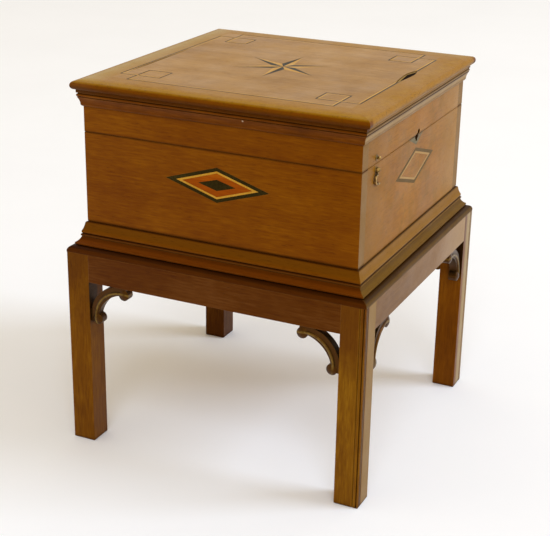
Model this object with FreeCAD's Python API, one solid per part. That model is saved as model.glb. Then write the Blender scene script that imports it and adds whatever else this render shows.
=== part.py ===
import FreeCAD, Part
import math
import os

from FreeCAD import Vector

# Cellarette: a hinged wine chest that lifts off a four-legged stand.
# Millimetres, +Z up, origin on the floor at the middle of the stand.
# The front, with the lock and the hook, faces -Y.

# Stand
STAND_WIDTH = 453.0
STAND_DEPTH = 458.0
LEG_SIZE = 35.5
LEG_HEIGHT = 296.0
LEG_FOOT_CHAMFER = 1.2
LEG_CORNER_ROUND = 1.6
REED_OUTER = 3.0
REED_INNER = 8.4
REED_QUIRK_WIDTH = 2.0
REED_QUIRK_DEPTH = 1.7
RAIL_HEIGHT = 41.0
RAIL_THICKNESS = 22.0
TENON_LENGTH = 16.0
TENON_THICKNESS = 8.0
TENON_SETBACK = 7.0
TENON_SHOULDER = 5.0
PEG_DIAMETER = 5.0
PEG_FIT = 0.05
PEG_STOP = 4.0
PEG_RISE = {"front": 11.0, "back": 11.0, "left": 4.0, "right": 4.0}

# Scroll brackets, measured from the corner between leg and rail
BRACKET_RADIUS = 52.0
BRACKET_INNER_CENTRE = 59.5
BRACKET_INNER_RADIUS = 48.0
BRACKET_RIDGE_RADIUS = 43.0
BRACKET_THICKNESS = 12.0
BRACKET_SETBACK = 3.4
BRACKET_RIDGE = 2.6
BRACKET_RIDGE_PROUD = 2.4
BALL_RADIUS = 8.0
BALL_NEAR = 11.2
BALL_FAR = 55.4
BALL_DOME = 2.8
DOME_CROWN = 0.12
PAD_START = 42.0
PAD_END = 59.5
PAD_DEPTH = 5.0

# Frame moulding on top of the rails
FRAME_THICKNESS = 9.5
FRAME_LEDGE = 14.0
FRAME_EDGE_FLAT = 1.4
THUMB_RUN = 7.8
QUIRK_HEIGHT = 1.6
QUIRK_IN = 11.5
UPSTAND_HEIGHT = 16.0
UPSTAND_LIP = 14.1
UPSTAND_LIP_HEIGHT = 2.4
UPSTAND_NECK = 6.6
BEAD_RADIUS = 2.2
CHEST_FIT = 0.5

# Chest
CHEST_INSET = 22.8
CHEST_HEIGHT = 164.0
BOARD = 20.0
BOTTOM_BOARD = 14.0
SEAM_CHAMFER = 0.7
BASE_MOULD_GAP = 0.8
BASE_MOULD_HEIGHT = 16.0
BASE_MOULD_LIP = 6.8
BASE_MOULD_LIP_HEIGHT = 2.6
BASE_MOULD_NECK = 2.7
SCRATCH_WIDTH = 1.4
SCRATCH_DEPTH = 1.0
DIVIDER_THICKNESS = 6.0
DIVIDER_HEIGHT = 100.0
DIVIDER_FIT = 0.2

# Inlays of the chest
INLAY_DEPTH = 1.2
LOZENGE_LONG = 78.0
LOZENGE_HIGH = 24.5
LOZENGE_BELOW_SEAM = 47.0
FRONT_LOZENGE_HIGH = 26.2
FRONT_LOZENGE_RISE = 3.6
FRONT_LOZENGE_TILT = 1.8
LOZENGE_BAND = 4.8
LOZENGE_LINE = 2.8
LOZENGE_CENTRE_LONG = 28.0
LOZENGE_CENTRE_HIGH = 7.8
ESCUTCHEON_HALF_WIDTH = 30.0
ESCUTCHEON_DROP = 13.5
KEYHOLE_DROP = 5.4
KEYHOLE_RADIUS = 2.9
KEYHOLE_SLOT = 5.8

# Lock
LOCK_WIDTH = 48.0
LOCK_HEIGHT = 24.0
LOCK_SKIN = 8.0
LOCK_WALL = 1.2
PLATE_WIDTH = 62.0
PLATE_THICKNESS = 2.0
PLATE_SINK = 0.1
LOCK_PIN_RADIUS = 1.2
BOLT_TRAVEL = 8.0
BOLT_BAR_HEIGHT = 5.0
BOLT_ARM = 4.0
BOLT_TONGUE = 6.0
BOLT_TONGUE_THICKNESS = 3.0
BOLT_TONGUE_HEIGHT = 3.6
BOLT_TONGUE_DROP = 5.0
BOLT_ARM_SPACING = 26.0
BOLT_PLAY = 0.06
STAPLE_THICKNESS = 2.5
STAPLE_WIDTH = 8.0
STAPLE_FOOT = 2.6
STAPLE_PLAY = 0.5

# Lid
LID_SIDE_HEIGHT = 55.5
LID_BOARD = 18.5
NOSE = 13.2
NOSE_DROP = 7.9
NOSE_FLAT = 8.0
NOSE_RADIUS = 6.0
NOSE_UNDER = 5.2
NOSE_FILLET = 7.2
NOSE_FILLET_HEIGHT = 4.4
LID_MOULD_HEIGHT = 19.5
LID_MOULD_QUIRK = 1.2
LID_MOULD_QUIRK_IN = 5.2
LID_MOULD_BEAD = 7.0
LID_MOULD_BEAD_RADIUS = 2.2
LID_MOULD_NECK = 3.0
LID_MOULD_FOOT = 4.5
NICK_HEIGHT = 7.4
NICK_WIDTH = 11.0
NICK_LEAN = 8.4
NICK_TIP = 4.4

# Inlays of the lid
STAR_POINTS = 6
STAR_RADIUS = 72.0
STAR_WAIST = 18.0
STRING_INSET = 42.0
STRING_NOTCH = 26.0
STRING_LOOP = 33.0
STRING_DARK = 2.2
STRING_LIGHT = 2.6
LOSS_START = -18.0
LOSS_WIDEST = 42.0
LOSS_END = 70.0
LOSS_HALF_WIDTH = 6.2
LOSS_BULGE = 1.2
# The split beside the back string, measured from the left end of the string
SPLIT_START = 39.9
SPLIT_WIDEST = 104.9
SPLIT_END = 229.9
SPLIT_HALF_WIDTH = 1.5
SPLIT_BULGE = 0.4

# Hinges
HINGE_INSET = 94.0
HINGE_LENGTH = 60.0
LEAF_DEPTH = 15.0
LEAF_THICKNESS = 2.0
LEAF_GAP = 0.3
KNUCKLE_RADIUS = 4.0
KNUCKLE_COUNT = 5
KNUCKLE_GAP = 0.2
KNUCKLE_CLEAR = 0.4
HINGE_PIN_RADIUS = 1.5
HINGE_PIN_FIT = 0.05

# Screws
SCREW_HEAD_RADIUS = 2.6
SCREW_HEAD_HEIGHT = 1.4
SCREW_SHANK_RADIUS = 1.3
SCREW_LENGTH = 13.0
SCREW_SLOT = 0.7
HINGE_SCREW_SPACING = 20.0
LOCK_SCREW_INSET = 4.0

# Hook and stud
HOOK_INSET = 49.5
HOOK_PIVOT_DROP = 8.0
STUD_RISE = 8.0
HOOK_THICKNESS = 2.4
HOOK_WIDTH = 2.4
HOOK_EYE_RADIUS = 3.4
HOOK_OFF_FACE = 0.9
HOOK_SHANK_RADIUS = 1.5
HOOK_SHANK_FIT = 0.08
HOOK_HEAD_RADIUS = 3.2
HOOK_HEAD_PLAY = 0.15
STUD_RADIUS = 1.7
STUD_PLAY = 0.35
STUD_HEAD_RADIUS = 2.7
HOOK_CROOK_RADIUS = 5.0
HOOK_TIP_REACH = 8.5
HOOK_TIP_DROP = 1.6
HOOK_TIP_RADIUS = 1.7
HEAD_ROUNDNESS = 0.75
COLLAR_RADIUS = 4.0
COLLAR_THICKNESS = 0.7
SCREW_IN_BOARD = 14.0

# Levels and outlines that follow from the sizes above
FRAME_TOP = LEG_HEIGHT + FRAME_THICKNESS
SEAM = FRAME_TOP + CHEST_HEIGHT
LID_UNDERSIDE = SEAM + LID_SIDE_HEIGHT
LID_TOP = LID_UNDERSIDE + LID_BOARD
RAIL_BOTTOM = LEG_HEIGHT - RAIL_HEIGHT
RAIL_MIDDLE = LEG_HEIGHT - RAIL_HEIGHT / 2
UPSTAND_TOP = FRAME_TOP + UPSTAND_HEIGHT
BASE_MOULD_BOTTOM = UPSTAND_TOP + BASE_MOULD_GAP
BASE_MOULD_TOP = BASE_MOULD_BOTTOM + BASE_MOULD_HEIGHT
BOTTOM_TOP = FRAME_TOP + BOTTOM_BOARD
CHEST_WIDTH = STAND_WIDTH - 2 * CHEST_INSET
CHEST_DEPTH = STAND_DEPTH - 2 * CHEST_INSET
FRONT_FACE = -CHEST_DEPTH / 2
LOZENGE_Z = SEAM - LOZENGE_BELOW_SEAM
KEYHOLE_Z = SEAM - KEYHOLE_DROP
PLATE_TOP = SEAM - PLATE_SINK
CASE_TOP = PLATE_TOP - PLATE_THICKNESS
CASE_BOTTOM = CASE_TOP - LOCK_HEIGHT
CASE_FRONT = FRONT_FACE + LOCK_SKIN
CASE_BACK = FRONT_FACE + BOARD
CASE_MIDDLE = (CASE_FRONT + CASE_BACK) / 2
LINK_BOTTOM = SEAM + PLATE_SINK
HINGE_AXIS_Y = CHEST_DEPTH / 2 + KNUCKLE_RADIUS + KNUCKLE_CLEAR
LEAF_EDGE_Y = HINGE_AXIS_Y - KNUCKLE_RADIUS - KNUCKLE_GAP
STRING_WIDTH = STRING_DARK + STRING_LIGHT
STRING_X = CHEST_WIDTH / 2 + NOSE - STRING_INSET
STRING_Y = CHEST_DEPTH / 2 + NOSE - STRING_INSET
HOOK_X = HOOK_INSET - CHEST_WIDTH / 2
PIVOT_Z = SEAM - HOOK_PIVOT_DROP
STUD_Z = SEAM + STUD_RISE
HOOK_REACH = STUD_Z - PIVOT_Z
HOOK_BACK = FRONT_FACE - HOOK_OFF_FACE
HOOK_FRONT = HOOK_BACK - HOOK_THICKNESS

QUARTER_TURNS = {"front": 0, "right": 90, "back": 180, "left": 270}
CORNERS = {
    "front_left": (),
    "front_right": ("x",),
    "back_left": ("y",),
    "back_right": ("x", "y"),
}
REEDED_LEGS = ("front_left", "front_right")
ORIGIN = Vector(0, 0, 0)
X_AXIS = Vector(1, 0, 0)
Y_AXIS = Vector(0, 1, 0)
Z_AXIS = Vector(0, 0, 1)


# ---------------------------------------------------------------- helpers

def save(name, shape):
    shape.exportStep("parts/" + name + ".step")


def block(x0, y0, z0, x1, y1, z1):
    return Part.makeBox(x1 - x0, y1 - y0, z1 - z0, Vector(x0, y0, z0))


def rod(radius, start, end):
    along = end - start
    return Part.makeCylinder(radius, along.Length, start, along)


def face_of(start, steps, place):
    """Closed face; a step of two numbers is a line, one of four an arc through its first two."""
    edges = []
    here = start
    for step in steps:
        there = step[-2:]
        if len(step) == 2:
            edges.append(Part.makeLine(place(*here), place(*there)))
        else:
            edges.append(Part.Arc(place(*here), place(*step[:2]), place(*there)).toShape())
        here = there
    return Part.Face(Part.Wire(edges))


def plate_xz(start, steps, y, thickness):
    """Plate with an outline in x and z, from y towards the back."""
    face = face_of(start, steps, lambda x, z: Vector(x, y, z))
    return face.extrude(Vector(0, thickness, 0))


def plate_xy(start, steps, z, thickness):
    """Plate with an outline in x and y, from z upwards."""
    face = face_of(start, steps, lambda x, y: Vector(x, y, z))
    return face.extrude(Vector(0, 0, thickness))


def turned(shape, side):
    """A shape made for the front, turned to another side."""
    copy = shape.copy()
    copy.rotate(ORIGIN, Z_AXIS, QUARTER_TURNS[side])
    return copy


def side_size(side, width, depth):
    """Length of a side and its distance from the middle."""
    if side in ("front", "back"):
        return width, depth / 2
    return depth, width / 2


def mirrored(shape, flips):
    """A shape made for the front left corner, taken to another corner."""
    for flip in flips:
        shape = shape.mirror(ORIGIN, X_AXIS if flip == "x" else Y_AXIS)
    return shape


def mitred_length(side, start, steps, inward, outward, low, high):
    """Moulding along one side of the chest; its outline is (outward offset, height)."""
    span, reach = side_size(side, CHEST_WIDTH, CHEST_DEPTH)
    half = span / 2 + outward
    face = face_of(start, steps, lambda offset, z: Vector(-half, -(reach + offset), z))
    blank = face.extrude(Vector(2 * half, 0, 0))
    inner = span / 2 - inward
    corners = [(half, -reach - outward), (inner, -reach + inward), (-inner, -reach + inward)]
    wedge = plate_xy((-half, -reach - outward), corners + [(-half, -reach - outward)], low, high - low)
    return turned(blank.common(wedge), side)


def ring(width, depth, inward, low, high):
    """Square-section ring just inside a rectangle, for cutting a groove."""
    outer = block(-width, -depth, low, width, depth, high)
    core = block(-width / 2 + inward, -depth / 2 + inward, low, width / 2 - inward, depth / 2 - inward, high)
    return outer.cut(core)


def seam_groove():
    """V groove round the seam, half in the chest and half in the lid."""
    z0 = SEAM - SEAM_CHAMFER
    z1 = SEAM + SEAM_CHAMFER
    groove = []
    for side in QUARTER_TURNS:
        span, reach = side_size(side, CHEST_WIDTH, CHEST_DEPTH)
        place = lambda offset, z: Vector(-span / 2, -(reach + offset), z)
        face = face_of((0, z0), [(0, z1), (-SEAM_CHAMFER, SEAM), (0, z0)], place)
        groove.append(turned(face.extrude(Vector(span, 0, 0)), side))
    return groove[0].multiFuse(groove[1:])


def screw(head, inward):
    """Slotted countersunk screw: head is the middle of its flat top, inward the way it is driven."""
    shoulder = head + inward * SCREW_HEAD_HEIGHT
    cone = Part.makeCone(SCREW_HEAD_RADIUS, SCREW_SHANK_RADIUS, SCREW_HEAD_HEIGHT, head, inward)
    body = cone.fuse(rod(SCREW_SHANK_RADIUS, shoulder, head + inward * SCREW_LENGTH))
    return body.removeSplitter()


def slotted(body, head, inward):
    low = head - Vector(SCREW_HEAD_RADIUS, SCREW_SLOT / 2, 0)
    slot = Part.makeBox(2 * SCREW_HEAD_RADIUS, SCREW_SLOT, SCREW_SLOT, low)
    if inward.z < 0:
        slot.translate(Vector(0, 0, -SCREW_SLOT))
    return body.cut(slot)


# ---------------------------------------------------------------- stand

def tenon_pegs():
    pegs = []
    for side in QUARTER_TURNS:
        span, reach = side_size(side, STAND_WIDTH, STAND_DEPTH)
        from_end = span / 2 - LEG_SIZE + TENON_LENGTH / 2
        for x in (-from_end, from_end):
            for rise in (-PEG_RISE[side], PEG_RISE[side]):
                start = Vector(x, -reach + PEG_STOP, RAIL_MIDDLE + rise)
                end = Vector(x, -reach + LEG_SIZE, RAIL_MIDDLE + rise)
                pegs.append((side, start, end))
    return pegs


def peg_solids(fit):
    return [turned(rod(PEG_DIAMETER / 2 + fit, start, end), side) for side, start, end in tenon_pegs()]


def rail(side):
    span, reach = side_size(side, STAND_WIDTH, STAND_DEPTH)
    shoulder = span / 2 - LEG_SIZE
    tip = shoulder + TENON_LENGTH
    body = block(-shoulder, -reach, RAIL_BOTTOM, shoulder, -reach + RAIL_THICKNESS, LEG_HEIGHT)
    y0 = -reach + TENON_SETBACK
    low = RAIL_BOTTOM + TENON_SHOULDER
    high = LEG_HEIGHT - TENON_SHOULDER
    tenons = block(-tip, y0, low, tip, y0 + TENON_THICKNESS, high)
    return turned(body.fuse(tenons).removeSplitter(), side)


def reed_quirk(distance):
    """V groove down both outer faces of the front left leg, at a distance from its corner."""
    x0 = -STAND_WIDTH / 2
    y0 = -STAND_DEPTH / 2
    near = distance - REED_QUIRK_WIDTH / 2
    far = distance + REED_QUIRK_WIDTH / 2
    on_front = [(x0 + far, y0), (x0 + distance, y0 + REED_QUIRK_DEPTH), (x0 + near, y0)]
    on_side = [(x0, y0 + far), (x0 + REED_QUIRK_DEPTH, y0 + distance), (x0, y0 + near)]
    front = plate_xy((x0 + near, y0), on_front, 0, LEG_HEIGHT)
    side = plate_xy((x0, y0 + near), on_side, 0, LEG_HEIGHT)
    return [front, side]


def leg(corner, rails, peg_holes):
    x0 = -STAND_WIDTH / 2
    y0 = -STAND_DEPTH / 2
    body = block(x0, y0, 0, x0 + LEG_SIZE, y0 + LEG_SIZE, LEG_HEIGHT)
    foot = [edge for edge in body.Edges if edge.BoundBox.ZMax < LEG_SIZE]
    body = body.makeChamfer(LEG_FOOT_CHAMFER, foot)
    tall = [edge for edge in body.Edges if edge.BoundBox.ZLength > LEG_SIZE]
    outer = min(tall, key=lambda edge: edge.BoundBox.XMin + edge.BoundBox.YMin)
    body = body.makeFillet(LEG_CORNER_ROUND, [outer])
    if corner in REEDED_LEGS:
        body = body.cut(reed_quirk(REED_OUTER) + reed_quirk(REED_INNER))
    return mirrored(body, CORNERS[corner]).cut(rails + peg_holes)


def bracket():
    """Front left bracket of the front: x to the right of the leg, z below the rail."""
    x0 = -STAND_WIDTH / 2 + LEG_SIZE
    y0 = -STAND_DEPTH / 2 + BRACKET_SETBACK
    y1 = y0 + BRACKET_THICKNESS

    def disc(across, down, radius):
        middle = Vector(x0 + across, y0, RAIL_BOTTOM - down)
        return rod(radius, middle, middle + Y_AXIS * BRACKET_THICKNESS)

    def slab(across0, down0, across1, down1):
        return block(x0 + across0, y0, RAIL_BOTTOM - down1, x0 + across1, y1, RAIL_BOTTOM - down0)

    outer = disc(BRACKET_RADIUS, BRACKET_RADIUS, BRACKET_RADIUS)
    inner = disc(BRACKET_INNER_CENTRE, BRACKET_INNER_CENTRE, BRACKET_INNER_RADIUS)
    crescent = outer.common(slab(0, 0, BALL_FAR, BALL_FAR)).cut(inner)
    ends = [disc(BALL_FAR, BALL_NEAR, BALL_RADIUS), disc(BALL_NEAR, BALL_FAR, BALL_RADIUS)]
    pads = [slab(PAD_START, 0, PAD_END, PAD_DEPTH), slab(0, PAD_START, PAD_DEPTH, PAD_END)]
    plate = crescent.multiFuse(ends + pads)
    return plate.multiFuse([bracket_ridge(x0, y0)] + bracket_domes(x0, y0)).removeSplitter()


def bracket_ridge(x0, y0):
    """Half-round line along the face of the scroll, from one ball end to the other."""
    start = Vector(x0 + BRACKET_RADIUS, y0, RAIL_BOTTOM - BRACKET_RADIUS)
    inner = BRACKET_RIDGE_RADIUS - BRACKET_RIDGE
    outer = BRACKET_RIDGE_RADIUS + BRACKET_RIDGE
    crest = (BRACKET_RIDGE_RADIUS, -BRACKET_RIDGE_PROUD)
    outline = [crest + (outer, 0), (outer, BRACKET_RIDGE), (inner, BRACKET_RIDGE), (inner, 0)]
    section = face_of((inner, 0), outline, lambda out, back: start + Vector(-out, back, 0))
    ball_turn = math.degrees(math.atan2(BALL_FAR - BRACKET_RADIUS, BRACKET_RADIUS - BALL_NEAR))
    section.rotate(start, Y_AXIS, -ball_turn)
    return section.revolve(start, Y_AXIS, 90 + 2 * ball_turn)


def dome(base, outward, radius, height):
    """Domed disc with a small flat crown; base is the middle of its underside."""
    middle = math.asin(2 * radius * height / (radius ** 2 + height ** 2)) / 2
    sphere = (radius ** 2 + height ** 2) / (2 * height)
    crown = radius * DOME_CROWN
    crown_height = height - sphere + math.sqrt(sphere ** 2 - crown ** 2)
    via = (sphere * math.sin(middle), height - sphere + sphere * math.cos(middle))
    steps = [(0, crown_height), (crown, crown_height), via + (radius, 0), (0, 0)]
    face = face_of((0, 0), steps, lambda across, up: Vector(across, 0, up))
    solid = face.revolve(ORIGIN, Z_AXIS, 360)
    solid.Placement = FreeCAD.Placement(base, FreeCAD.Rotation(Z_AXIS, outward))
    return solid


def bracket_domes(x0, y0):
    """Domed faces of the two ball ends."""
    spots = [Vector(BALL_FAR, 0, -BALL_NEAR), Vector(BALL_NEAR, 0, -BALL_FAR)]
    corner = Vector(x0, y0, RAIL_BOTTOM)
    return [dome(corner + spot, -Y_AXIS, BALL_RADIUS, BALL_DOME) for spot in spots]


def bracket_pair(corner):
    """The two brackets of one leg."""
    front = bracket()
    across = Vector(-STAND_WIDTH / 2, -STAND_DEPTH / 2, 0)
    other = front.mirror(across, Vector(1, -1, 0))
    return Part.makeCompound([mirrored(front, CORNERS[corner]), mirrored(other, CORNERS[corner])])


def stand_moulding(side):
    """Frame on the rails: ledge for the chest, thumb edge, quirk, cavetto and bead."""
    edge_top = LEG_HEIGHT + FRAME_EDGE_FLAT
    thumb_end = CHEST_INSET - THUMB_RUN
    thumb_via = CHEST_INSET - THUMB_RUN * 0.32
    thumb_via_z = edge_top + (FRAME_TOP - edge_top) * 0.66
    lip_bottom = FRAME_TOP + QUIRK_HEIGHT / 2
    thumb_top = FRAME_TOP - QUIRK_HEIGHT / 2
    lip_top = lip_bottom + UPSTAND_LIP_HEIGHT
    neck_z = UPSTAND_TOP - 2 * BEAD_RADIUS
    via = UPSTAND_NECK + (UPSTAND_LIP - UPSTAND_NECK) * 0.34
    via_z = lip_top + (neck_z - lip_top) * 0.48
    steps = [
        (CHEST_INSET, LEG_HEIGHT),
        (CHEST_INSET, edge_top),
        (thumb_via, thumb_via_z, thumb_end, thumb_top),
        (QUIRK_IN, thumb_top),
        (QUIRK_IN, lip_bottom),
        (UPSTAND_LIP, lip_bottom),
        (UPSTAND_LIP, lip_top),
        (via, via_z, UPSTAND_NECK, neck_z),
        (UPSTAND_NECK - BEAD_RADIUS / 2, neck_z),
        (UPSTAND_NECK - BEAD_RADIUS / 2 + BEAD_RADIUS, UPSTAND_TOP - BEAD_RADIUS,
         UPSTAND_NECK - BEAD_RADIUS / 2, UPSTAND_TOP),
        (CHEST_FIT, UPSTAND_TOP),
        (CHEST_FIT, FRAME_TOP),
        (-FRAME_LEDGE, FRAME_TOP),
        (-FRAME_LEDGE, LEG_HEIGHT),
    ]
    start = (-FRAME_LEDGE, LEG_HEIGHT)
    return mitred_length(side, start, steps, FRAME_LEDGE, CHEST_INSET, LEG_HEIGHT, UPSTAND_TOP)


# ---------------------------------------------------------------- chest and lid boards

def case_board(side, low, high):
    """One side of the chest or lid; the left and right boards run the full depth."""
    span, reach = side_size(side, CHEST_WIDTH, CHEST_DEPTH)
    half = span / 2 - BOARD if side in ("front", "back") else span / 2
    return turned(block(-half, -reach, low, half, -reach + BOARD, high), side)


def chest_bottom():
    x = CHEST_WIDTH / 2 - BOARD
    y = CHEST_DEPTH / 2 - BOARD
    return block(-x, -y, FRAME_TOP, x, y, BOTTOM_TOP)


def base_moulding(side):
    lip_top = BASE_MOULD_BOTTOM + BASE_MOULD_LIP_HEIGHT
    round_start = BASE_MOULD_TOP - BASE_MOULD_NECK * 0.7
    via = BASE_MOULD_NECK + (BASE_MOULD_LIP - BASE_MOULD_NECK) * 0.4
    via_z = lip_top + (round_start - lip_top) * 0.45
    steps = [
        (BASE_MOULD_LIP, BASE_MOULD_BOTTOM),
        (BASE_MOULD_LIP, lip_top),
        (via, via_z, BASE_MOULD_NECK, round_start),
        (BASE_MOULD_NECK * 0.72, BASE_MOULD_TOP - BASE_MOULD_NECK * 0.2, 0.6, BASE_MOULD_TOP),
        (0, BASE_MOULD_TOP),
        (0, BASE_MOULD_BOTTOM),
    ]
    start = (0, BASE_MOULD_BOTTOM)
    return mitred_length(side, start, steps, 0, BASE_MOULD_LIP, BASE_MOULD_BOTTOM, BASE_MOULD_TOP)


def lid_moulding(side):
    """Bead and cavetto under the lid board."""
    foot = LID_UNDERSIDE - LID_MOULD_HEIGHT
    quirk_z = LID_UNDERSIDE - LID_MOULD_QUIRK
    bead_bottom = quirk_z - 2 * LID_MOULD_BEAD_RADIUS
    bead_start = LID_MOULD_BEAD - LID_MOULD_BEAD_RADIUS
    cove_top = LID_MOULD_BEAD - 0.6
    neck_z = foot + LID_MOULD_FOOT
    via = LID_MOULD_NECK + (cove_top - LID_MOULD_NECK) * 0.3
    via_z = neck_z + (bead_bottom - neck_z) * 0.45
    steps = [
        (LID_MOULD_QUIRK_IN, LID_UNDERSIDE),
        (LID_MOULD_QUIRK_IN, quirk_z),
        (bead_start, quirk_z),
        (LID_MOULD_BEAD, quirk_z - LID_MOULD_BEAD_RADIUS, bead_start, bead_bottom),
        (cove_top, bead_bottom - 0.4),
        (via, via_z, LID_MOULD_NECK, neck_z),
        (LID_MOULD_NECK * 0.8, foot + LID_MOULD_FOOT * 0.35, 0.4, foot),
        (0, foot),
        (0, LID_UNDERSIDE),
    ]
    return mitred_length(side, (0, LID_UNDERSIDE), steps, 0, LID_MOULD_BEAD, foot, LID_UNDERSIDE)


def quarter_round(start, end, radius):
    """Two arcs, level at the start and upright at the end; the second has the given radius."""
    across = end[0] - start[0]
    down = start[1] - end[1]
    wide = (across ** 2 + down ** 2 - 2 * across * radius) / (2 * (down - radius))
    lean = math.atan2(across - radius, wide - down)
    middle = (lean + math.pi / 2) / 2

    def on_wide(angle):
        return (start[0] + wide * math.sin(angle), start[1] - wide * (1 - math.cos(angle)))

    via = (end[0] - radius + radius * math.sin(middle), end[1] + radius * math.cos(middle))
    return [on_wide(lean / 2) + on_wide(lean), via + end]


def nosed_bar(half, length):
    """Lid board along Y, cut square across its ends, with a rounded nose down both edges."""
    out = half + NOSE
    nose_z = LID_TOP - NOSE_DROP
    step_z = LID_UNDERSIDE + NOSE_FILLET_HEIGHT
    under = (out - NOSE_UNDER * 0.32, nose_z - (nose_z - step_z) * 0.72)
    top_start = (half - NOSE_FLAT, LID_TOP)
    steps = [top_start] + quarter_round(top_start, (out, nose_z), NOSE_RADIUS)
    steps += [
        under + (out - NOSE_UNDER, step_z),
        (half + NOSE_FILLET, step_z),
        (half + NOSE_FILLET, LID_UNDERSIDE),
        (0, LID_UNDERSIDE),
        (0, LID_TOP),
    ]
    face = face_of((0, LID_TOP), steps, lambda x, z: Vector(x, -length / 2, z))
    side = face.extrude(Vector(0, length, 0))
    return side.fuse(side.mirror(ORIGIN, X_AXIS)).removeSplitter()


def lid_board():
    along_y = nosed_bar(CHEST_WIDTH / 2, 2 * CHEST_DEPTH)
    along_x = turned(nosed_bar(CHEST_DEPTH / 2, 2 * CHEST_WIDTH), "right")
    return along_y.common(along_x)


def dividers():
    """Cross-lapped slats: those across are notched from above, those fore and aft from below."""
    inside_x = CHEST_WIDTH / 2 - BOARD
    inside_y = CHEST_DEPTH / 2 - BOARD
    step_x = (2 * inside_x + DIVIDER_THICKNESS) / 3
    step_y = (2 * inside_y + DIVIDER_THICKNESS) / 3
    t = DIVIDER_THICKNESS / 2
    wide = t + DIVIDER_FIT
    top = BOTTOM_TOP + DIVIDER_HEIGHT
    half_way = BOTTOM_TOP + DIVIDER_HEIGHT / 2
    slats = {}
    for name, y in (("divider_front", -step_y / 2), ("divider_rear", step_y / 2)):
        slat = block(-inside_x, y - t, BOTTOM_TOP, inside_x, y + t, top)
        crossings = (-step_x / 2, step_x / 2)
        notches = [block(at - wide, y - t, half_way, at + wide, y + t, top) for at in crossings]
        slats[name] = slat.cut(notches)
    for name, x in (("divider_left", -step_x / 2), ("divider_right", step_x / 2)):
        slat = block(x - t, -inside_y, BOTTOM_TOP, x + t, inside_y, top)
        crossings = (-step_y / 2, step_y / 2)
        notches = [block(x - t, at - wide, BOTTOM_TOP, x + t, at + wide, half_way) for at in crossings]
        slats[name] = slat.cut(notches)
    return slats


# ---------------------------------------------------------------- inlays

def lozenge(side, inset, long=LOZENGE_LONG, high=LOZENGE_HIGH):
    """Diamond let into the face of a side, its edges moved in by the inset.

    The one on the front is a little taller and higher, and was laid askew.
    """
    reach = side_size(side, CHEST_WIDTH, CHEST_DEPTH)[1]
    if side == "front":
        high = FRONT_LOZENGE_HIGH
    to_edge = long * high / math.hypot(long, high)
    scale = 1 - inset / to_edge
    a = long * scale
    b = high * scale
    steps = [(0, LOZENGE_Z - b), (a, LOZENGE_Z), (0, LOZENGE_Z + b), (-a, LOZENGE_Z)]
    plate = plate_xz((-a, LOZENGE_Z), steps, -reach, INLAY_DEPTH)
    if side == "front":
        plate.rotate(Vector(0, 0, LOZENGE_Z), Y_AXIS, -FRONT_LOZENGE_TILT)
        plate.translate(Vector(0, 0, FRONT_LOZENGE_RISE))
    return turned(plate, side)


def lozenge_inlays():
    bands = []
    lines = []
    fields = []
    for side in ("front", "left", "right"):
        band_inside = lozenge(side, LOZENGE_BAND)
        line_inside = lozenge(side, LOZENGE_BAND + LOZENGE_LINE)
        bands.append(lozenge(side, 0).cut(band_inside))
        lines.append(band_inside.cut(line_inside))
        if side != "front":
            centre = lozenge(side, 0, LOZENGE_CENTRE_LONG, LOZENGE_CENTRE_HIGH)
            bands.append(centre)
            fields.append(line_inside.cut(centre))
    return {
        "lozenge_ebony": Part.makeCompound(bands),
        "lozenge_boxwood": Part.makeCompound(lines),
        "lozenge_satinwood": Part.makeCompound(fields),
    }


def lozenge_pocket(side):
    if side == "front":
        return lozenge(side, 0).cut(lozenge(side, LOZENGE_BAND + LOZENGE_LINE))
    return lozenge(side, 0)


def keyhole():
    """Round keyhole with a slot that opens through the rim."""
    start = Vector(0, FRONT_FACE - 1, KEYHOLE_Z)
    end = Vector(0, CASE_FRONT + LOCK_WALL, KEYHOLE_Z)
    slot = block(-KEYHOLE_SLOT / 2, start.y, KEYHOLE_Z, KEYHOLE_SLOT / 2, CASE_FRONT, SEAM)
    return rod(KEYHOLE_RADIUS, start, end).fuse(slot)


def escutcheon_blank():
    w = ESCUTCHEON_HALF_WIDTH
    steps = [(w, SEAM), (0, SEAM - ESCUTCHEON_DROP), (-w, SEAM)]
    return plate_xz((-w, SEAM), steps, FRONT_FACE, INLAY_DEPTH)


def star_halves():
    """Dark and light halves of each point of the star."""
    dark = []
    light = []
    z = LID_TOP - INLAY_DEPTH
    half_step = math.pi / STAR_POINTS
    for point in range(STAR_POINTS):
        angle = 2 * half_step * point
        tip = (STAR_RADIUS * math.cos(angle), STAR_RADIUS * math.sin(angle))
        for halves, turn in ((dark, half_step), (light, -half_step)):
            waist = (STAR_WAIST * math.cos(angle + turn), STAR_WAIST * math.sin(angle + turn))
            halves.append(plate_xy((0, 0), [tip, waist, (0, 0)], z, INLAY_DEPTH))
    return dark, light


def string_path():
    """Line round the lid with a square loop inside each corner; every turn is to the left."""
    corners = [
        (-STRING_X, -STRING_Y, (0, -1), (1, 0)),
        (STRING_X, -STRING_Y, (1, 0), (0, 1)),
        (STRING_X, STRING_Y, (0, 1), (-1, 0)),
        (-STRING_X, STRING_Y, (-1, 0), (0, -1)),
    ]
    near = STRING_NOTCH
    far = STRING_NOTCH + STRING_LOOP
    path = []
    for x, y, inward, onward in corners:
        for back, on in ((near, 0), (near, far), (far, far), (far, near), (0, near)):
            path.append((x - inward[0] * back + onward[0] * on, y - inward[1] * back + onward[1] * on))
    return path


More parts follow.
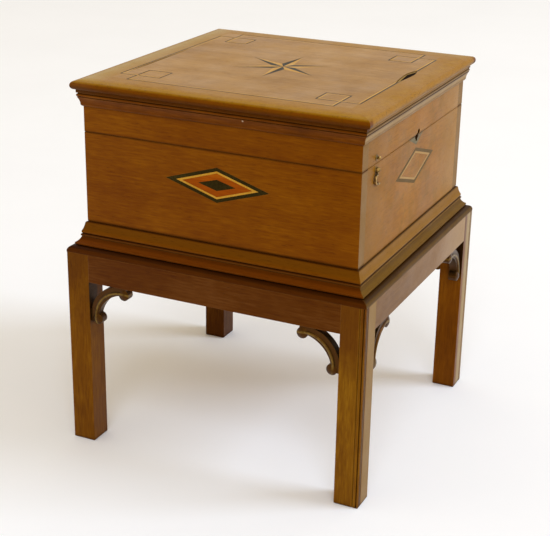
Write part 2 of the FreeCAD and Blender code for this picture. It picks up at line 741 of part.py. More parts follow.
def string_band(left, right):
    """Strip along the path, from left of its line to right of it."""
    path = string_path()
    strips = []
    for here, there in zip(path, path[1:] + path[:1]):
        length = math.hypot(there[0] - here[0], there[1] - here[1])
        strip = Part.makeBox(length + 2 * right, left + right, INLAY_DEPTH, Vector(-right, -right, 0))
        strip.rotate(ORIGIN, Z_AXIS, math.degrees(math.atan2(there[1] - here[1], there[0] - here[0])))
        strip.translate(Vector(here[0], here[1], LID_TOP - INLAY_DEPTH))
        strips.append(strip)
    return strips[0].multiFuse(strips[1:]).removeSplitter()


def gap_in_veneer(y, start, widest, end, half_width, bulge):
    """Slender pointed gap along X, as deep as the inlays."""
    steps = []
    for here, there, side in ((start, widest, -1), (widest, end, -1), (end, widest, 1), (widest, start, 1)):
        offset = half_width if there == widest else 0
        via = ((here + there) / 2, y + side * (half_width / 2 + bulge))
        steps.append(via + (there, y + side * offset))
    return plate_xy((start, y), steps, LID_TOP - INLAY_DEPTH, INLAY_DEPTH)


def veneer_gaps():
    """Where the front string and its veneer have come away, and the split beside the back string."""
    split_y = STRING_Y - STRING_WIDTH / 2
    split = [along - STRING_X for along in (SPLIT_START, SPLIT_WIDEST, SPLIT_END)]
    return [
        gap_in_veneer(-STRING_Y, LOSS_START, LOSS_WIDEST, LOSS_END, LOSS_HALF_WIDTH, LOSS_BULGE),
        gap_in_veneer(split_y, *split, SPLIT_HALF_WIDTH, SPLIT_BULGE),
    ]


# ---------------------------------------------------------------- lock

def lock_screw_heads(z):
    x = PLATE_WIDTH / 2 - LOCK_SCREW_INSET
    return [Vector(-x, CASE_MIDDLE, z), Vector(x, CASE_MIDDLE, z)]


def lock_plates():
    """Blanks of the plate in the rim of the chest and of the link plate in the lid."""
    x = PLATE_WIDTH / 2
    lower = block(-x, CASE_FRONT, CASE_TOP, x, CASE_BACK, PLATE_TOP)
    upper = block(-x, CASE_FRONT, LINK_BOTTOM, x, CASE_BACK, LINK_BOTTOM + PLATE_THICKNESS)
    return lower, upper


def bolt_arms():
    """Left edge of each arm of the bolt at rest."""
    first = -LOCK_WIDTH / 2 + LOCK_WALL + BOLT_PLAY
    return [first, first + BOLT_ARM_SPACING]


def staple_spots():
    """Left edge of each staple: just clear of the arm when the bolt is thrown."""
    return [x + BOLT_ARM + BOLT_TRAVEL + STAPLE_PLAY for x in bolt_arms()]


def lock_case(lower_plate):
    x = LOCK_WIDTH / 2
    shell = block(-x, CASE_FRONT, CASE_BOTTOM, x, CASE_BACK, CASE_TOP).fuse(lower_plate)
    cavity = block(-x + LOCK_WALL, CASE_FRONT + LOCK_WALL, CASE_BOTTOM + LOCK_WALL,
                   x - LOCK_WALL, CASE_BACK - LOCK_WALL, CASE_TOP)
    y0 = CASE_MIDDLE - STAPLE_WIDTH / 2 - STAPLE_PLAY
    y1 = CASE_MIDDLE + STAPLE_WIDTH / 2 + STAPLE_PLAY
    slots = [block(s - STAPLE_PLAY, y0, CASE_TOP, s + STAPLE_THICKNESS + STAPLE_PLAY, y1, PLATE_TOP)
             for s in staple_spots()]
    pin = rod(LOCK_PIN_RADIUS, Vector(0, CASE_FRONT + LOCK_WALL, KEYHOLE_Z), Vector(0, CASE_BACK, KEYHOLE_Z))
    heads = lock_screw_heads(PLATE_TOP)
    return shell.cut([cavity] + slots).fuse(pin).cut([keyhole()] + [screw(head, -Z_AXIS) for head in heads])


def lock_bolt():
    """Sliding bar with two upright arms, each with a tongue that enters a staple."""
    arms = bolt_arms()
    floor = CASE_BOTTOM + LOCK_WALL + BOLT_PLAY
    bar_end = LOCK_WIDTH / 2 - LOCK_WALL - BOLT_PLAY - BOLT_TRAVEL
    bar = block(arms[0], CASE_FRONT + LOCK_WALL + BOLT_PLAY, floor,
                bar_end, CASE_BACK - LOCK_WALL - BOLT_PLAY, floor + BOLT_BAR_HEIGHT)
    tongue_top = SEAM - BOLT_TONGUE_DROP
    y0 = CASE_MIDDLE - BOLT_TONGUE_THICKNESS / 2
    y1 = CASE_MIDDLE + BOLT_TONGUE_THICKNESS / 2
    uprights = []
    for x in arms:
        uprights.append(block(x, y0, floor, x + BOLT_ARM, y1, tongue_top))
        tip = x + BOLT_ARM + BOLT_TONGUE
        uprights.append(block(x, y0, tongue_top - BOLT_TONGUE_HEIGHT, tip, y1, tongue_top))
    return bar.multiFuse(uprights).removeSplitter()


def lock_link_plate(upper_plate):
    tongue_top = SEAM - BOLT_TONGUE_DROP
    window_top = tongue_top + STAPLE_PLAY
    window_bottom = tongue_top - BOLT_TONGUE_HEIGHT - STAPLE_PLAY
    y0 = CASE_MIDDLE - STAPLE_WIDTH / 2
    y1 = CASE_MIDDLE + STAPLE_WIDTH / 2
    w = BOLT_TONGUE_THICKNESS / 2 + STAPLE_PLAY
    plate = upper_plate
    for x in staple_spots():
        staple = block(x, y0, window_bottom - STAPLE_FOOT, x + STAPLE_THICKNESS, y1, LINK_BOTTOM)
        window = block(x, CASE_MIDDLE - w, window_bottom, x + STAPLE_THICKNESS, CASE_MIDDLE + w, window_top)
        plate = plate.fuse(staple.cut(window))
    return plate.cut([screw(head, Z_AXIS) for head in lock_screw_heads(LINK_BOTTOM)])


def lid_nick():
    """Worn finger nick in the lid above the keyhole."""
    w = NICK_WIDTH / 2
    shoulder = SEAM + NICK_HEIGHT - NICK_TIP
    tip = (NICK_LEAN, SEAM + NICK_HEIGHT)
    steps = [(w, SEAM), (NICK_LEAN + NICK_TIP, shoulder), tip + (NICK_LEAN - NICK_TIP, shoulder), (-w, SEAM)]
    return plate_xz((-w, SEAM), steps, FRONT_FACE, LOCK_SKIN)


# ---------------------------------------------------------------- hinges

def hinge_middles():
    from_middle = CHEST_WIDTH / 2 - HINGE_INSET
    return {"left": -from_middle, "right": from_middle}


def knuckles(middle, first, fit):
    """Every second knuckle of a hinge, as x ranges; fit widens them for the other leaf."""
    pitch = HINGE_LENGTH / KNUCKLE_COUNT
    start = middle - HINGE_LENGTH / 2
    spans = []
    for n in range(first, KNUCKLE_COUNT, 2):
        low = start + n * pitch + KNUCKLE_GAP / 2
        high = start + (n + 1) * pitch - KNUCKLE_GAP / 2
        spans.append((low - fit, high + fit))
    return spans


def leaf_screw_heads(middle, z):
    y = CHEST_DEPTH / 2 - LEAF_DEPTH / 2
    return [Vector(middle + n * HINGE_SCREW_SPACING, y, z) for n in (-1, 0, 1)]


def hinge_leaf(middle, low, high, first, driven):
    """Leaf between two levels, with every second knuckle from the given one."""
    x0 = middle - HINGE_LENGTH / 2
    y0 = CHEST_DEPTH / 2 - LEAF_DEPTH
    leaf = block(x0, y0, low, x0 + HINGE_LENGTH, LEAF_EDGE_Y, high)
    for start, end in knuckles(middle, first, 0):
        leaf = leaf.fuse(block(start, y0, low, end, HINGE_AXIS_Y, high))
        barrel = rod(KNUCKLE_RADIUS, Vector(start, HINGE_AXIS_Y, SEAM), Vector(end, HINGE_AXIS_Y, SEAM))
        leaf = leaf.fuse(barrel)
    bore = rod(HINGE_PIN_RADIUS + HINGE_PIN_FIT, Vector(x0, HINGE_AXIS_Y, SEAM),
               Vector(x0 + HINGE_LENGTH, HINGE_AXIS_Y, SEAM))
    face = high if driven.z < 0 else low
    holes = [screw(head, driven) for head in leaf_screw_heads(middle, face)]
    return leaf.cut([bore] + holes).removeSplitter()


def leaf_recess(middle, low, high):
    x0 = middle - HINGE_LENGTH / 2
    return block(x0, CHEST_DEPTH / 2 - LEAF_DEPTH, low, x0 + HINGE_LENGTH, CHEST_DEPTH / 2, high)


# ---------------------------------------------------------------- hook

def hook():
    """Hanging hook: eye, stem, a wide crook that catches the stud at its far side, and a ball tip."""
    inner = HOOK_CROOK_RADIUS
    outer = inner + HOOK_WIDTH
    drop = HOOK_REACH + STUD_RADIUS + STUD_PLAY - inner
    ring_z = PIVOT_Z - drop
    back = Vector(HOOK_X, HOOK_BACK, PIVOT_Z)
    front = Vector(HOOK_X, HOOK_FRONT, PIVOT_Z)
    eye = rod(HOOK_EYE_RADIUS, back, front)
    w = HOOK_WIDTH / 2
    stem = block(HOOK_X - w, HOOK_FRONT, ring_z + inner, HOOK_X + w, HOOK_BACK, PIVOT_Z)
    down = Vector(0, 0, -drop)
    half_ring = rod(outer, back + down, front + down).cut(rod(inner, back + down, front + down))
    open_side = block(HOOK_X, HOOK_FRONT, ring_z - outer, HOOK_X + outer, HOOK_BACK, ring_z + outer)
    half_ring = half_ring.cut(open_side)
    jaw_z = ring_z - inner
    tip_x = HOOK_X + HOOK_TIP_REACH
    tip_z = jaw_z - w - HOOK_TIP_DROP
    jaw_steps = [(tip_x, tip_z - w), (tip_x, tip_z + w), (HOOK_X, jaw_z), (HOOK_X, jaw_z - HOOK_WIDTH)]
    jaw = plate_xz((HOOK_X, jaw_z - HOOK_WIDTH), jaw_steps, HOOK_FRONT, HOOK_THICKNESS)
    ball_middle = Vector(tip_x, (HOOK_FRONT + HOOK_BACK) / 2, tip_z)
    ball = Part.makeSphere(HOOK_TIP_RADIUS, ball_middle)
    ball = ball.common(block(tip_x - HOOK_EYE_RADIUS, HOOK_FRONT, tip_z - HOOK_EYE_RADIUS,
                             tip_x + HOOK_EYE_RADIUS, HOOK_BACK, tip_z + HOOK_EYE_RADIUS))
    body = eye.multiFuse([stem, half_ring, jaw, ball]).removeSplitter()
    bore = HOOK_SHANK_RADIUS + HOOK_SHANK_FIT
    return body.cut(rod(bore, back, front))


def round_headed(z, shank_radius, head_radius, neck):
    """Round-headed pin with a collar, driven into the front; neck is how far its head stands off."""
    tip = Vector(HOOK_X, FRONT_FACE + SCREW_IN_BOARD, z)
    under_head = Vector(HOOK_X, FRONT_FACE - neck, z)
    head = dome(under_head, -Y_AXIS, head_radius, head_radius * HEAD_ROUNDNESS)
    foot = Vector(HOOK_X, FRONT_FACE, z)
    collar = rod(COLLAR_RADIUS, foot - Y_AXIS * COLLAR_THICKNESS, foot)
    return rod(shank_radius, under_head, tip).multiFuse([head, collar]).removeSplitter()


# ---------------------------------------------------------------- assembly

def make_stand():
    peg_holes = peg_solids(PEG_FIT)
    rails = {side: rail(side) for side in QUARTER_TURNS}
    for side in QUARTER_TURNS:
        save("rail_" + side, rails[side].cut(peg_holes))
        save("stand_moulding_" + side, stand_moulding(side))
    for corner in CORNERS:
        save("leg_" + corner, leg(corner, list(rails.values()), peg_holes))
        save("brackets_" + corner, bracket_pair(corner))
    save("tenon_pegs", Part.makeCompound(peg_solids(0)))


def make_chest(lower_plate, pivot, screws):
    scratch = ring(CHEST_WIDTH, CHEST_DEPTH, SCRATCH_DEPTH, BASE_MOULD_TOP, BASE_MOULD_TOP + SCRATCH_WIDTH)
    grooves = [seam_groove(), scratch]
    case_space = block(-LOCK_WIDTH / 2, CASE_FRONT, CASE_BOTTOM, LOCK_WIDTH / 2, CASE_BACK, SEAM)
    plate_space = block(-PLATE_WIDTH / 2, CASE_FRONT, CASE_TOP, PLATE_WIDTH / 2, CASE_BACK, SEAM)
    leaf_top = SEAM - LEAF_GAP / 2
    recesses = [leaf_recess(x, leaf_top - LEAF_THICKNESS, SEAM) for x in hinge_middles().values()]
    cuts = {
        "front": [lozenge_pocket("front"), escutcheon_blank(), keyhole(), case_space, plate_space, pivot],
        "back": recesses,
        "left": [lozenge_pocket("left")],
        "right": [lozenge_pocket("right")],
    }
    for side in QUARTER_TURNS:
        save("chest_" + side, case_board(side, FRAME_TOP, SEAM).cut(grooves + cuts[side] + screws))
        save("base_moulding_" + side, base_moulding(side))
    save("chest_bottom", chest_bottom())
    save("escutcheon", escutcheon_blank().cut([keyhole(), grooves[0]]))
    for name, shape in {**dividers(), **lozenge_inlays()}.items():
        save(name, shape)
    save("lock_case", lock_case(lower_plate))
    save("lock_bolt", lock_bolt())
    save("hook_pivot_screw", pivot)


def make_lid(upper_plate, stud, screws):
    leaf_bottom = SEAM + LEAF_GAP / 2
    recesses = [leaf_recess(x, SEAM, leaf_bottom + LEAF_THICKNESS) for x in hinge_middles().values()]
    plate_top = LINK_BOTTOM + PLATE_THICKNESS
    plate_space = block(-PLATE_WIDTH / 2, CASE_FRONT, SEAM, PLATE_WIDTH / 2, CASE_BACK, plate_top)
    cuts = {"front": [plate_space, lid_nick(), stud], "back": recesses, "left": [], "right": []}
    for side in QUARTER_TURNS:
        save("lid_" + side, case_board(side, SEAM, LID_UNDERSIDE).cut([seam_groove()] + cuts[side] + screws))
        save("lid_moulding_" + side, lid_moulding(side))
    dark, light = star_halves()
    string = string_band(STRING_WIDTH / 2, STRING_WIDTH / 2)
    light_string = string_band(STRING_WIDTH / 2, STRING_LIGHT - STRING_WIDTH / 2)
    gaps = veneer_gaps()
    save("lid_top", lid_board().cut(dark + light + [string] + gaps))
    save("star_dark", Part.makeCompound(dark))
    save("star_light", Part.makeCompound(light))
    save("stringing_dark", string.cut([light_string] + gaps))
    save("stringing_light", light_string.cut(gaps))
    save("lock_link_plate", lock_link_plate(upper_plate))
    save("hook_stud", stud)


def make_hinges():
    """Leaves and pins; returns the screws that hold each half."""
    leaf_top = SEAM - LEAF_GAP / 2
    leaf_bottom = SEAM + LEAF_GAP / 2
    pins = []
    lower_heads = []
    upper_heads = []
    for side, middle in hinge_middles().items():
        save("hinge_lower_" + side, hinge_leaf(middle, leaf_top - LEAF_THICKNESS, leaf_top, 0, -Z_AXIS))
        save("hinge_upper_" + side, hinge_leaf(middle, leaf_bottom, leaf_bottom + LEAF_THICKNESS, 1, Z_AXIS))
        start = Vector(middle - HINGE_LENGTH / 2, HINGE_AXIS_Y, SEAM)
        pins.append(rod(HINGE_PIN_RADIUS, start, start + Vector(HINGE_LENGTH, 0, 0)))
        lower_heads += leaf_screw_heads(middle, leaf_top)
        upper_heads += leaf_screw_heads(middle, leaf_bottom)
    save("hinge_pins", Part.makeCompound(pins))
    return lower_heads, upper_heads


def save_screws(name, heads, inward):
    save(name, Part.makeCompound([slotted(screw(head, inward), head, inward) for head in heads]))
    return [screw(head, inward) for head in heads]


def main():
    os.makedirs("parts", exist_ok=True)
    make_stand()
    lower_plate, upper_plate = lock_plates()
    lower_heads, upper_heads = make_hinges()
    chest_screws = save_screws("chest_screws", lower_heads + lock_screw_heads(PLATE_TOP), -Z_AXIS)
    lid_screws = save_screws("lid_screws", upper_heads + lock_screw_heads(LINK_BOTTOM), Z_AXIS)
    neck = HOOK_OFF_FACE + HOOK_THICKNESS + HOOK_HEAD_PLAY
    pivot = round_headed(PIVOT_Z, HOOK_SHANK_RADIUS, HOOK_HEAD_RADIUS, neck)
    stud = round_headed(STUD_Z, STUD_RADIUS, STUD_HEAD_RADIUS, neck + STUD_PLAY)
    make_chest(lower_plate, pivot, chest_screws)
    make_lid(upper_plate, stud, lid_screws)
    save("hook", hook())


main()
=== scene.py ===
import math

import bpy
from mathutils import Matrix, Vector


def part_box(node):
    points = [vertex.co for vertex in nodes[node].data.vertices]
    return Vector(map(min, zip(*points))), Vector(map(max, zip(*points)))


# Looks of the cellarette: aged French-polished mahogany with inlays, ebonised brackets and brass.
# Metres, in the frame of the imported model: +Z up, the front with the lock and the hook faces -Y.
# Colours of surfaces are written as on a screen, 0 to 255. A span is where a change starts and ends.

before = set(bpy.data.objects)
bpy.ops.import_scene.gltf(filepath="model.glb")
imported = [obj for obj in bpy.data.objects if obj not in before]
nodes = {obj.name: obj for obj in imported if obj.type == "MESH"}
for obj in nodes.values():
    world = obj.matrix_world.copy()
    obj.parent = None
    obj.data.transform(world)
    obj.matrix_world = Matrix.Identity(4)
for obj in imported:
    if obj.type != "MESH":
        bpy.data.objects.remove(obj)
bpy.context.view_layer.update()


# ---------------------------------------------------------------- camera

FOCAL_PIXELS = 1302.1
IMAGE_WIDTH = 550
SENSOR_WIDTH = 36
CAMERA_AT = Vector((-1.6707, -0.7712, 0.9517))
AZIMUTH = math.radians(-65.02)
ELEVATION = math.radians(21.31)
ROLL = math.radians(1.02)


def make_camera():
    back = Vector((
        math.sin(AZIMUTH) * math.cos(ELEVATION),
        -math.cos(AZIMUTH) * math.cos(ELEVATION),
        math.sin(ELEVATION),
    ))
    level = Vector((math.cos(AZIMUTH), math.sin(AZIMUTH), 0))
    upright = back.cross(level)
    right = level * math.cos(ROLL) + upright * math.sin(ROLL)
    up = upright * math.cos(ROLL) - level * math.sin(ROLL)
    data = bpy.data.cameras.new("camera")
    data.sensor_width = SENSOR_WIDTH
    data.lens = FOCAL_PIXELS * data.sensor_width / IMAGE_WIDTH
    camera = bpy.data.objects.new("camera", data)
    bpy.context.scene.collection.objects.link(camera)
    turn = Matrix((right, up, back)).transposed()
    camera.matrix_world = Matrix.Translation(CAMERA_AT) @ turn.to_4x4()
    bpy.context.scene.camera = camera


# ---------------------------------------------------------------- node helpers

SCREEN_WHITE = 255
TOE_END = 0.04045
TOE_SLOPE = 12.92
CURVE_LIFT = 0.055
CURVE_POWER = 2.4

# Sockets of the Mix node when it mixes colours
MIX_SHARE = 0
MIX_FIRST = 6
MIX_SECOND = 7
MIX_RESULT = 2

# Cosines between the rounded and the plain normal: on a flat, and on a sharp edge
EDGE_SPAN = (0.995, 0.85)
CREVICE_SAMPLES = 6
ROUNDING_SAMPLES = 4


def linear(colour):
    """Colour written as on a screen, as the shader wants it."""
    out = []
    for value in colour:
        value = value / SCREEN_WHITE
        if value <= TOE_END:
            out.append(value / TOE_SLOPE)
        else:
            out.append(((value + CURVE_LIFT) / (1 + CURVE_LIFT)) ** CURVE_POWER)
    return (*out, 1)


class Shader:
    """A new material and short ways to add nodes to it.

    A shade sets dull to 1 where it takes the polish away, and unshaded to 1 where it keeps the joint dirt
    and the painted crevice shade off.
    """

    def __init__(self, name):
        self.material = bpy.data.materials.new(name)
        self.material.use_nodes = True
        self.tree = self.material.node_tree
        self.main = self.tree.nodes["Principled BSDF"]
        self.place = self.node("TexCoord").outputs["Object"]
        self.dull = 0.0
        self.clean = 0.0

    def node(self, kind, **settings):
        made = self.tree.nodes.new("ShaderNode" + kind)
        for key, value in settings.items():
            setattr(made, key, value)
        return made

    def put(self, socket, value):
        if isinstance(value, bpy.types.NodeSocket):
            self.tree.links.new(value, socket)
        else:
            socket.default_value = value

    def constants(self, **values):
        for key, value in values.items():
            self.main.inputs[key.replace("_", " ")].default_value = value

    def math(self, operation, first, second=0.0, clamp=False):
        made = self.node("Math", operation=operation, use_clamp=clamp)
        self.put(made.inputs[0], first)
        self.put(made.inputs[1], second)
        return made.outputs[0]

    def plus(self, first, second):
        return self.math("ADD", first, second)

    def minus(self, first, second):
        return self.math("SUBTRACT", first, second)

    def times(self, first, second):
        return self.math("MULTIPLY", first, second)

    def larger(self, first, second):
        return self.math("MAXIMUM", first, second)

    def below(self, value, limit):
        """1 below a limit, 0 above it."""
        return self.math("LESS_THAN", value, limit)

    def size(self, value):
        """The value without its sign."""
        return self.math("ABSOLUTE", value)

    def away(self, value, centre):
        """How far a value lies from a centre."""
        return self.size(self.minus(value, centre))

    def length(self, across, down):
        """Length of a step with two parts."""
        return self.math("SQRT", self.plus(self.times(across, across), self.times(down, down)))

    def vector(self, operation, first, second):
        made = self.node("VectorMath", operation=operation)
        self.put(made.inputs[0], first)
        self.put(made.inputs[1], second)
        return made.outputs["Value" if operation in ("DOT_PRODUCT", "LENGTH", "DISTANCE") else "Vector"]

    def split(self, vector):
        made = self.node("SeparateXYZ")
        self.put(made.inputs[0], vector)
        return made.outputs

    def spread(self, value, low, high, to_low=0.0, to_high=1.0):
        """Clamped remap from low..high to to_low..to_high."""
        made = self.node("MapRange")
        for socket, number in zip(made.inputs[0:5], (value, low, high, to_low, to_high)):
            self.put(socket, number)
        return made.outputs[0]

    def share(self, value, span, most=1.0):
        """Rises from 0 to most over a span."""
        return self.spread(value, *span, 0.0, most)

    def stretched(self, vector, scale, shift=(0, 0, 0)):
        made = self.node("Mapping")
        self.put(made.inputs["Vector"], vector)
        made.inputs["Location"].default_value = shift
        made.inputs["Scale"].default_value = scale
        return made.outputs[0]

    def noise(self, vector, detail=3.0, roughness=0.55):
        made = self.node("TexNoise")
        self.put(made.inputs["Vector"], vector)
        made.inputs["Scale"].default_value = 1.0
        made.inputs["Detail"].default_value = detail
        made.inputs["Roughness"].default_value = roughness
        return made.outputs["Fac"]

    def ramp(self, value, *stops):
        """Colour ramp; each stop is a position and a colour."""
        made = self.node("ValToRGB")
        self.put(made.inputs[0], value)
        elements = made.color_ramp.elements
        for element, (position, colour) in zip(elements, (stops[0], stops[-1])):
            element.position = position
            element.color = linear(colour)
        for position, colour in stops[1:-1]:
            elements.new(position).color = linear(colour)
        return made.outputs[0]

    def mix(self, share, first, second, blend="MIX"):
        made = self.node("Mix", data_type="RGBA", blend_type=blend)
        self.put(made.inputs[MIX_SHARE], share)
        self.put(made.inputs[MIX_FIRST], linear(first) if isinstance(first, tuple) else first)
        self.put(made.inputs[MIX_SECOND], linear(second) if isinstance(second, tuple) else second)
        return made.outputs[MIX_RESULT]

    def bump(self, height, strength, distance, normal):
        made = self.node("Bump")
        made.inputs["Strength"].default_value = strength
        made.inputs["Distance"].default_value = distance
        self.put(made.inputs["Height"], height)
        self.put(made.inputs["Normal"], normal)
        return made.outputs[0]

    def crevice(self, distance, span, most):
        """Rises from 0 in the open to most in a groove or an inner corner."""
        made = self.node("AmbientOcclusion", samples=CREVICE_SAMPLES)
        made.inputs["Distance"].default_value = distance
        return self.times(self.spread(self.minus(1.0, made.outputs["AO"]), *span), most)

    def rounding(self, radius):
        made = self.node("Bevel", samples=ROUNDING_SAMPLES)
        made.inputs["Radius"].default_value = radius
        return made.outputs[0]

    def edge(self, rounded):
        """1 on a sharp edge, 0 on a flat."""
        facing = self.vector("DOT_PRODUCT", rounded, self.node("NewGeometry").outputs["Normal"])
        return self.spread(facing, *EDGE_SPAN)

    def facing(self, direction):
        """How far the surface faces along a direction, 0 to 1."""
        normal = self.node("NewGeometry").outputs["Normal"]
        return self.larger(self.vector("DOT_PRODUCT", normal, direction), 0.0)


AXES = {"x": 0, "y": 1, "z": 2}


def along(axis, far, near):
    """Scales of a texture that is drawn out along one axis."""
    scale = [near, near, near]
    scale[AXES[axis]] = far
    return tuple(scale)


def even(scale):
    """Scales of a texture that is the same along every axis."""
    return (scale, scale, scale)


MOTTLE = dict(detail=4, roughness=0.7)


def mottle(m, scale, low, high):
    """Blotches with soft edges."""
    return m.spread(m.noise(m.stretched(m.place, even(scale)), **MOTTLE), low, high)


def shifted(seed, steps):
    """Where the textures of a piece start."""
    return tuple(seed * step for step in steps)


# ---------------------------------------------------------------- places on the object

FRAME_THICKNESS = 0.0095

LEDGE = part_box("rail_left")[1][2] + FRAME_THICKNESS
RAIL_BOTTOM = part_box("rail_left")[0][2]
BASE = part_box("base_moulding_left")[0][2]
CHEST_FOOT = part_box("base_moulding_left")[1][2]
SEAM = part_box("chest_left")[1][2]
LID_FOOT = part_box("lid_moulding_front")[0][2]
LID_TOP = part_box("lid_top")[1][2]
FRONT_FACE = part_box("chest_front")[0][1]
STAND_HALF = (-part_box("leg_front_left")[0][0], -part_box("leg_front_left")[0][1])
LEG_FACE = (-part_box("leg_front_left")[1][0], -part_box("leg_front_left")[1][1])
STRING_AT = (0.175, 0.1776)

FRONT = (0, -1, 0)
LEFT = (-1, 0, 0)


# ---------------------------------------------------------------- tones of the mouldings

# Members of each moulding from the bottom up, and the heights between which each keeps its tone. They are in
# millimetres from the ledge of the stand, from the bottom of the base moulding or of the lid moulding, and
# for the nose from the top of the lid. Between two members the colour fades from one tone to the next.
MILLIMETRES_IN_METRE = 1000
STAND_MEMBERS = dict(thumb=(-9.5, -4.0), quirk=(-2.4, -0.5), lip=(1.2, 6.0), cove=(8.5, 10.5),
                     bead=(12.0, 13.8), joint=(15.2, 16.0))
BASE_MEMBERS = dict(foot=(0.0, 0.2), lip=(1.0, 3.4), hollow=(7.0, 14.4), joint=(15.8, 16.0))
LID_MEMBERS = dict(foot=(0.0, 4.5), cove=(7.0, 9.6), step=(12.2, 13.4), bead=(16.0, 19.5))
NOSE_MEMBERS = dict(under=(-18.0, -9.4), face=(-6.4, -4.8), edge=(-0.8, 0.5))

# One tone for each member, on the sides and in front. The tones are painted light and shade: painted shade
# where a member turns down or away from the light, as on the stand's thumb and cove and under the nose, and
# painted highlights where it faces the light, as on the lips, the stand's bead, the lid moulding's cove and
# the nose's edge.
# The dark quirks, steps and joints are partly dirt and partly painted shade. The front tones are paler:
# painted light and sheen.
SIDE_STAND = dict(thumb=(60, 26, 2), quirk=(34, 11, 0), lip=(98, 46, 2), cove=(74, 32, 0),
                  bead=(90, 52, 14), joint=(44, 14, 0))
FRONT_STAND = dict(thumb=(76, 54, 6), quirk=(38, 26, 0), lip=(98, 70, 6), cove=(86, 60, 4),
                   bead=(116, 82, 14), joint=(54, 34, 0))
SIDE_BASE = dict(foot=(52, 14, 0), lip=(106, 58, 2), hollow=(98, 56, 4), joint=(64, 28, 0))
FRONT_BASE = dict(foot=(72, 46, 0), lip=(132, 90, 6), hollow=(126, 84, 2), joint=(66, 42, 0))
FRONT_LID = dict(foot=(124, 92, 40), cove=(150, 118, 64), step=(92, 64, 14), bead=(104, 74, 18))
SIDE_NOSE = dict(under=(68, 22, 0), face=(102, 48, 0), edge=(160, 116, 6))
FRONT_NOSE = dict(under=(130, 90, 22), face=(148, 102, 26), edge=(156, 108, 24))
STAND_SHARE = 0.88
LID_SHARE = 0.85
SIDE_NOSE_SHARE = 0.9


def by_member(m, colour, origin, members, tones, share):
    """Colour that follows the members of a moulding, with their painted light and shade; their heights are
    measured from origin.
    """
    heights = [height for span in members.values() for height in span]
    low, high = heights[0], heights[-1]
    start, end = origin + low / MILLIMETRES_IN_METRE, origin + high / MILLIMETRES_IN_METRE
    place = m.spread(m.split(m.place)[2], start, end)
    stops = []
    for member, span in members.items():
        for height in span:
            stops.append(((height - low) / (high - low), tones[member]))
    return m.mix(share, colour, m.ramp(place, *stops))


def member_shade(origin, members, tones, share):
    """A shade that only follows the members of a moulding."""
    def shade(m, colour):
        return by_member(m, colour, origin, members, tones, share)
    return shade


# ---------------------------------------------------------------- shades of the lid

# Spans are distances beyond the string. Patches are the scale, low and high of a mottle.
BANDING = (155, 107, 12)
BANDING_SPAN = (-0.001, 0.001)
BANDING_SHARE = 0.75
BRIGHT = (160, 114, 12)
BRIGHT_SPAN = (0.014, 0.03)
BRIGHT_PATCHES = (26.0, 0.36, 0.6)
BROWN = (132, 86, 2)
BROWN_SPAN = (0.0, 0.03)
BROWN_SHARE = 0.6
BROWN_PATCHES = (70.0, 0.42, 0.66)
SPECKS = (84, 52, 2)
SPECK_SPAN = (0.026, 0.042)
SPECK_SHARE = 0.6
SPECK_PATCHES = (300.0, 0.54, 0.62)
NOSE_SPAN = (0.028, 0.034)
# How much farther beyond the string the place lies in front than at the side
MITRE_SPAN = (0.007, 0.013)

# Painted sheen: paler, greener banding at the back and at the right, by place
SHEEN_BEHIND = (168, 136, 72)
SHEEN_BEHIND_Y = (0.174, 0.2)
SHEEN_BEHIND_Y_SHARE = 0.85
SHEEN_BEHIND_X = (0.18, 0.21)
SHEEN_BEHIND_X_SHARE = 0.6

# Dirt where the veneer lifts along the front string
LIFTED = (92, 66, 16)
LIFTED_START = (-0.12, -0.04)
LIFTED_END = (0.12, 0.08)
LIFTED_SPAN = (0.0042, 0.002)
LIFTED_SHARE = 0.7

# Gaps of the veneer, deeper than the surface and near the string
GAP_DEPTH = 0.0006
GAP_REACH = 0.02
LOSS_START = -0.018
LOSS_WIDEST = 0.042
LOSS_END = 0.07
LOSS_DEPTH = 0.0068
GLUE = ((40, 28, 6), (72, 54, 16))
GLUE_PATCHES = (300.0, 0.35, 0.65)
# Painted shade: the split is painted black, as the dark inside a deep crack
SPLIT_SHADE = (14, 8, 3)
SPLIT_SHADE_SPAN = (-0.0135, -0.0075)
SPLIT_SHADE_START = (-0.014, 0.012)
LOOSE_STRING = (160, 130, 74)
LOOSE_STRING_SPAN = (-0.0025, -0.0017)

CHIP = (236, 214, 186)
CHIP_AT = (-0.2075, -0.0402, 0.5175)
CHIP_SPAN = (0.0022, 0.0012)


def gap_floor(m, x, y):
    """Old glue, the loose string along the inner edge and a split beside it, painted black as shade."""
    rising = m.spread(x, LOSS_START, LOSS_WIDEST, 0.0, LOSS_DEPTH)
    falling = m.spread(x, LOSS_WIDEST, LOSS_END, LOSS_DEPTH, 0.0)
    inside = m.minus(m.plus(y, STRING_AT[1]), m.math("MINIMUM", rising, falling))
    split = m.times(m.share(inside, SPLIT_SHADE_SPAN), m.share(x, SPLIT_SHADE_START))
    floor = m.mix(split, m.mix(mottle(m, *GLUE_PATCHES), *GLUE), SPLIT_SHADE)
    return m.mix(m.share(inside, LOOSE_STRING_SPAN), floor, LOOSE_STRING)


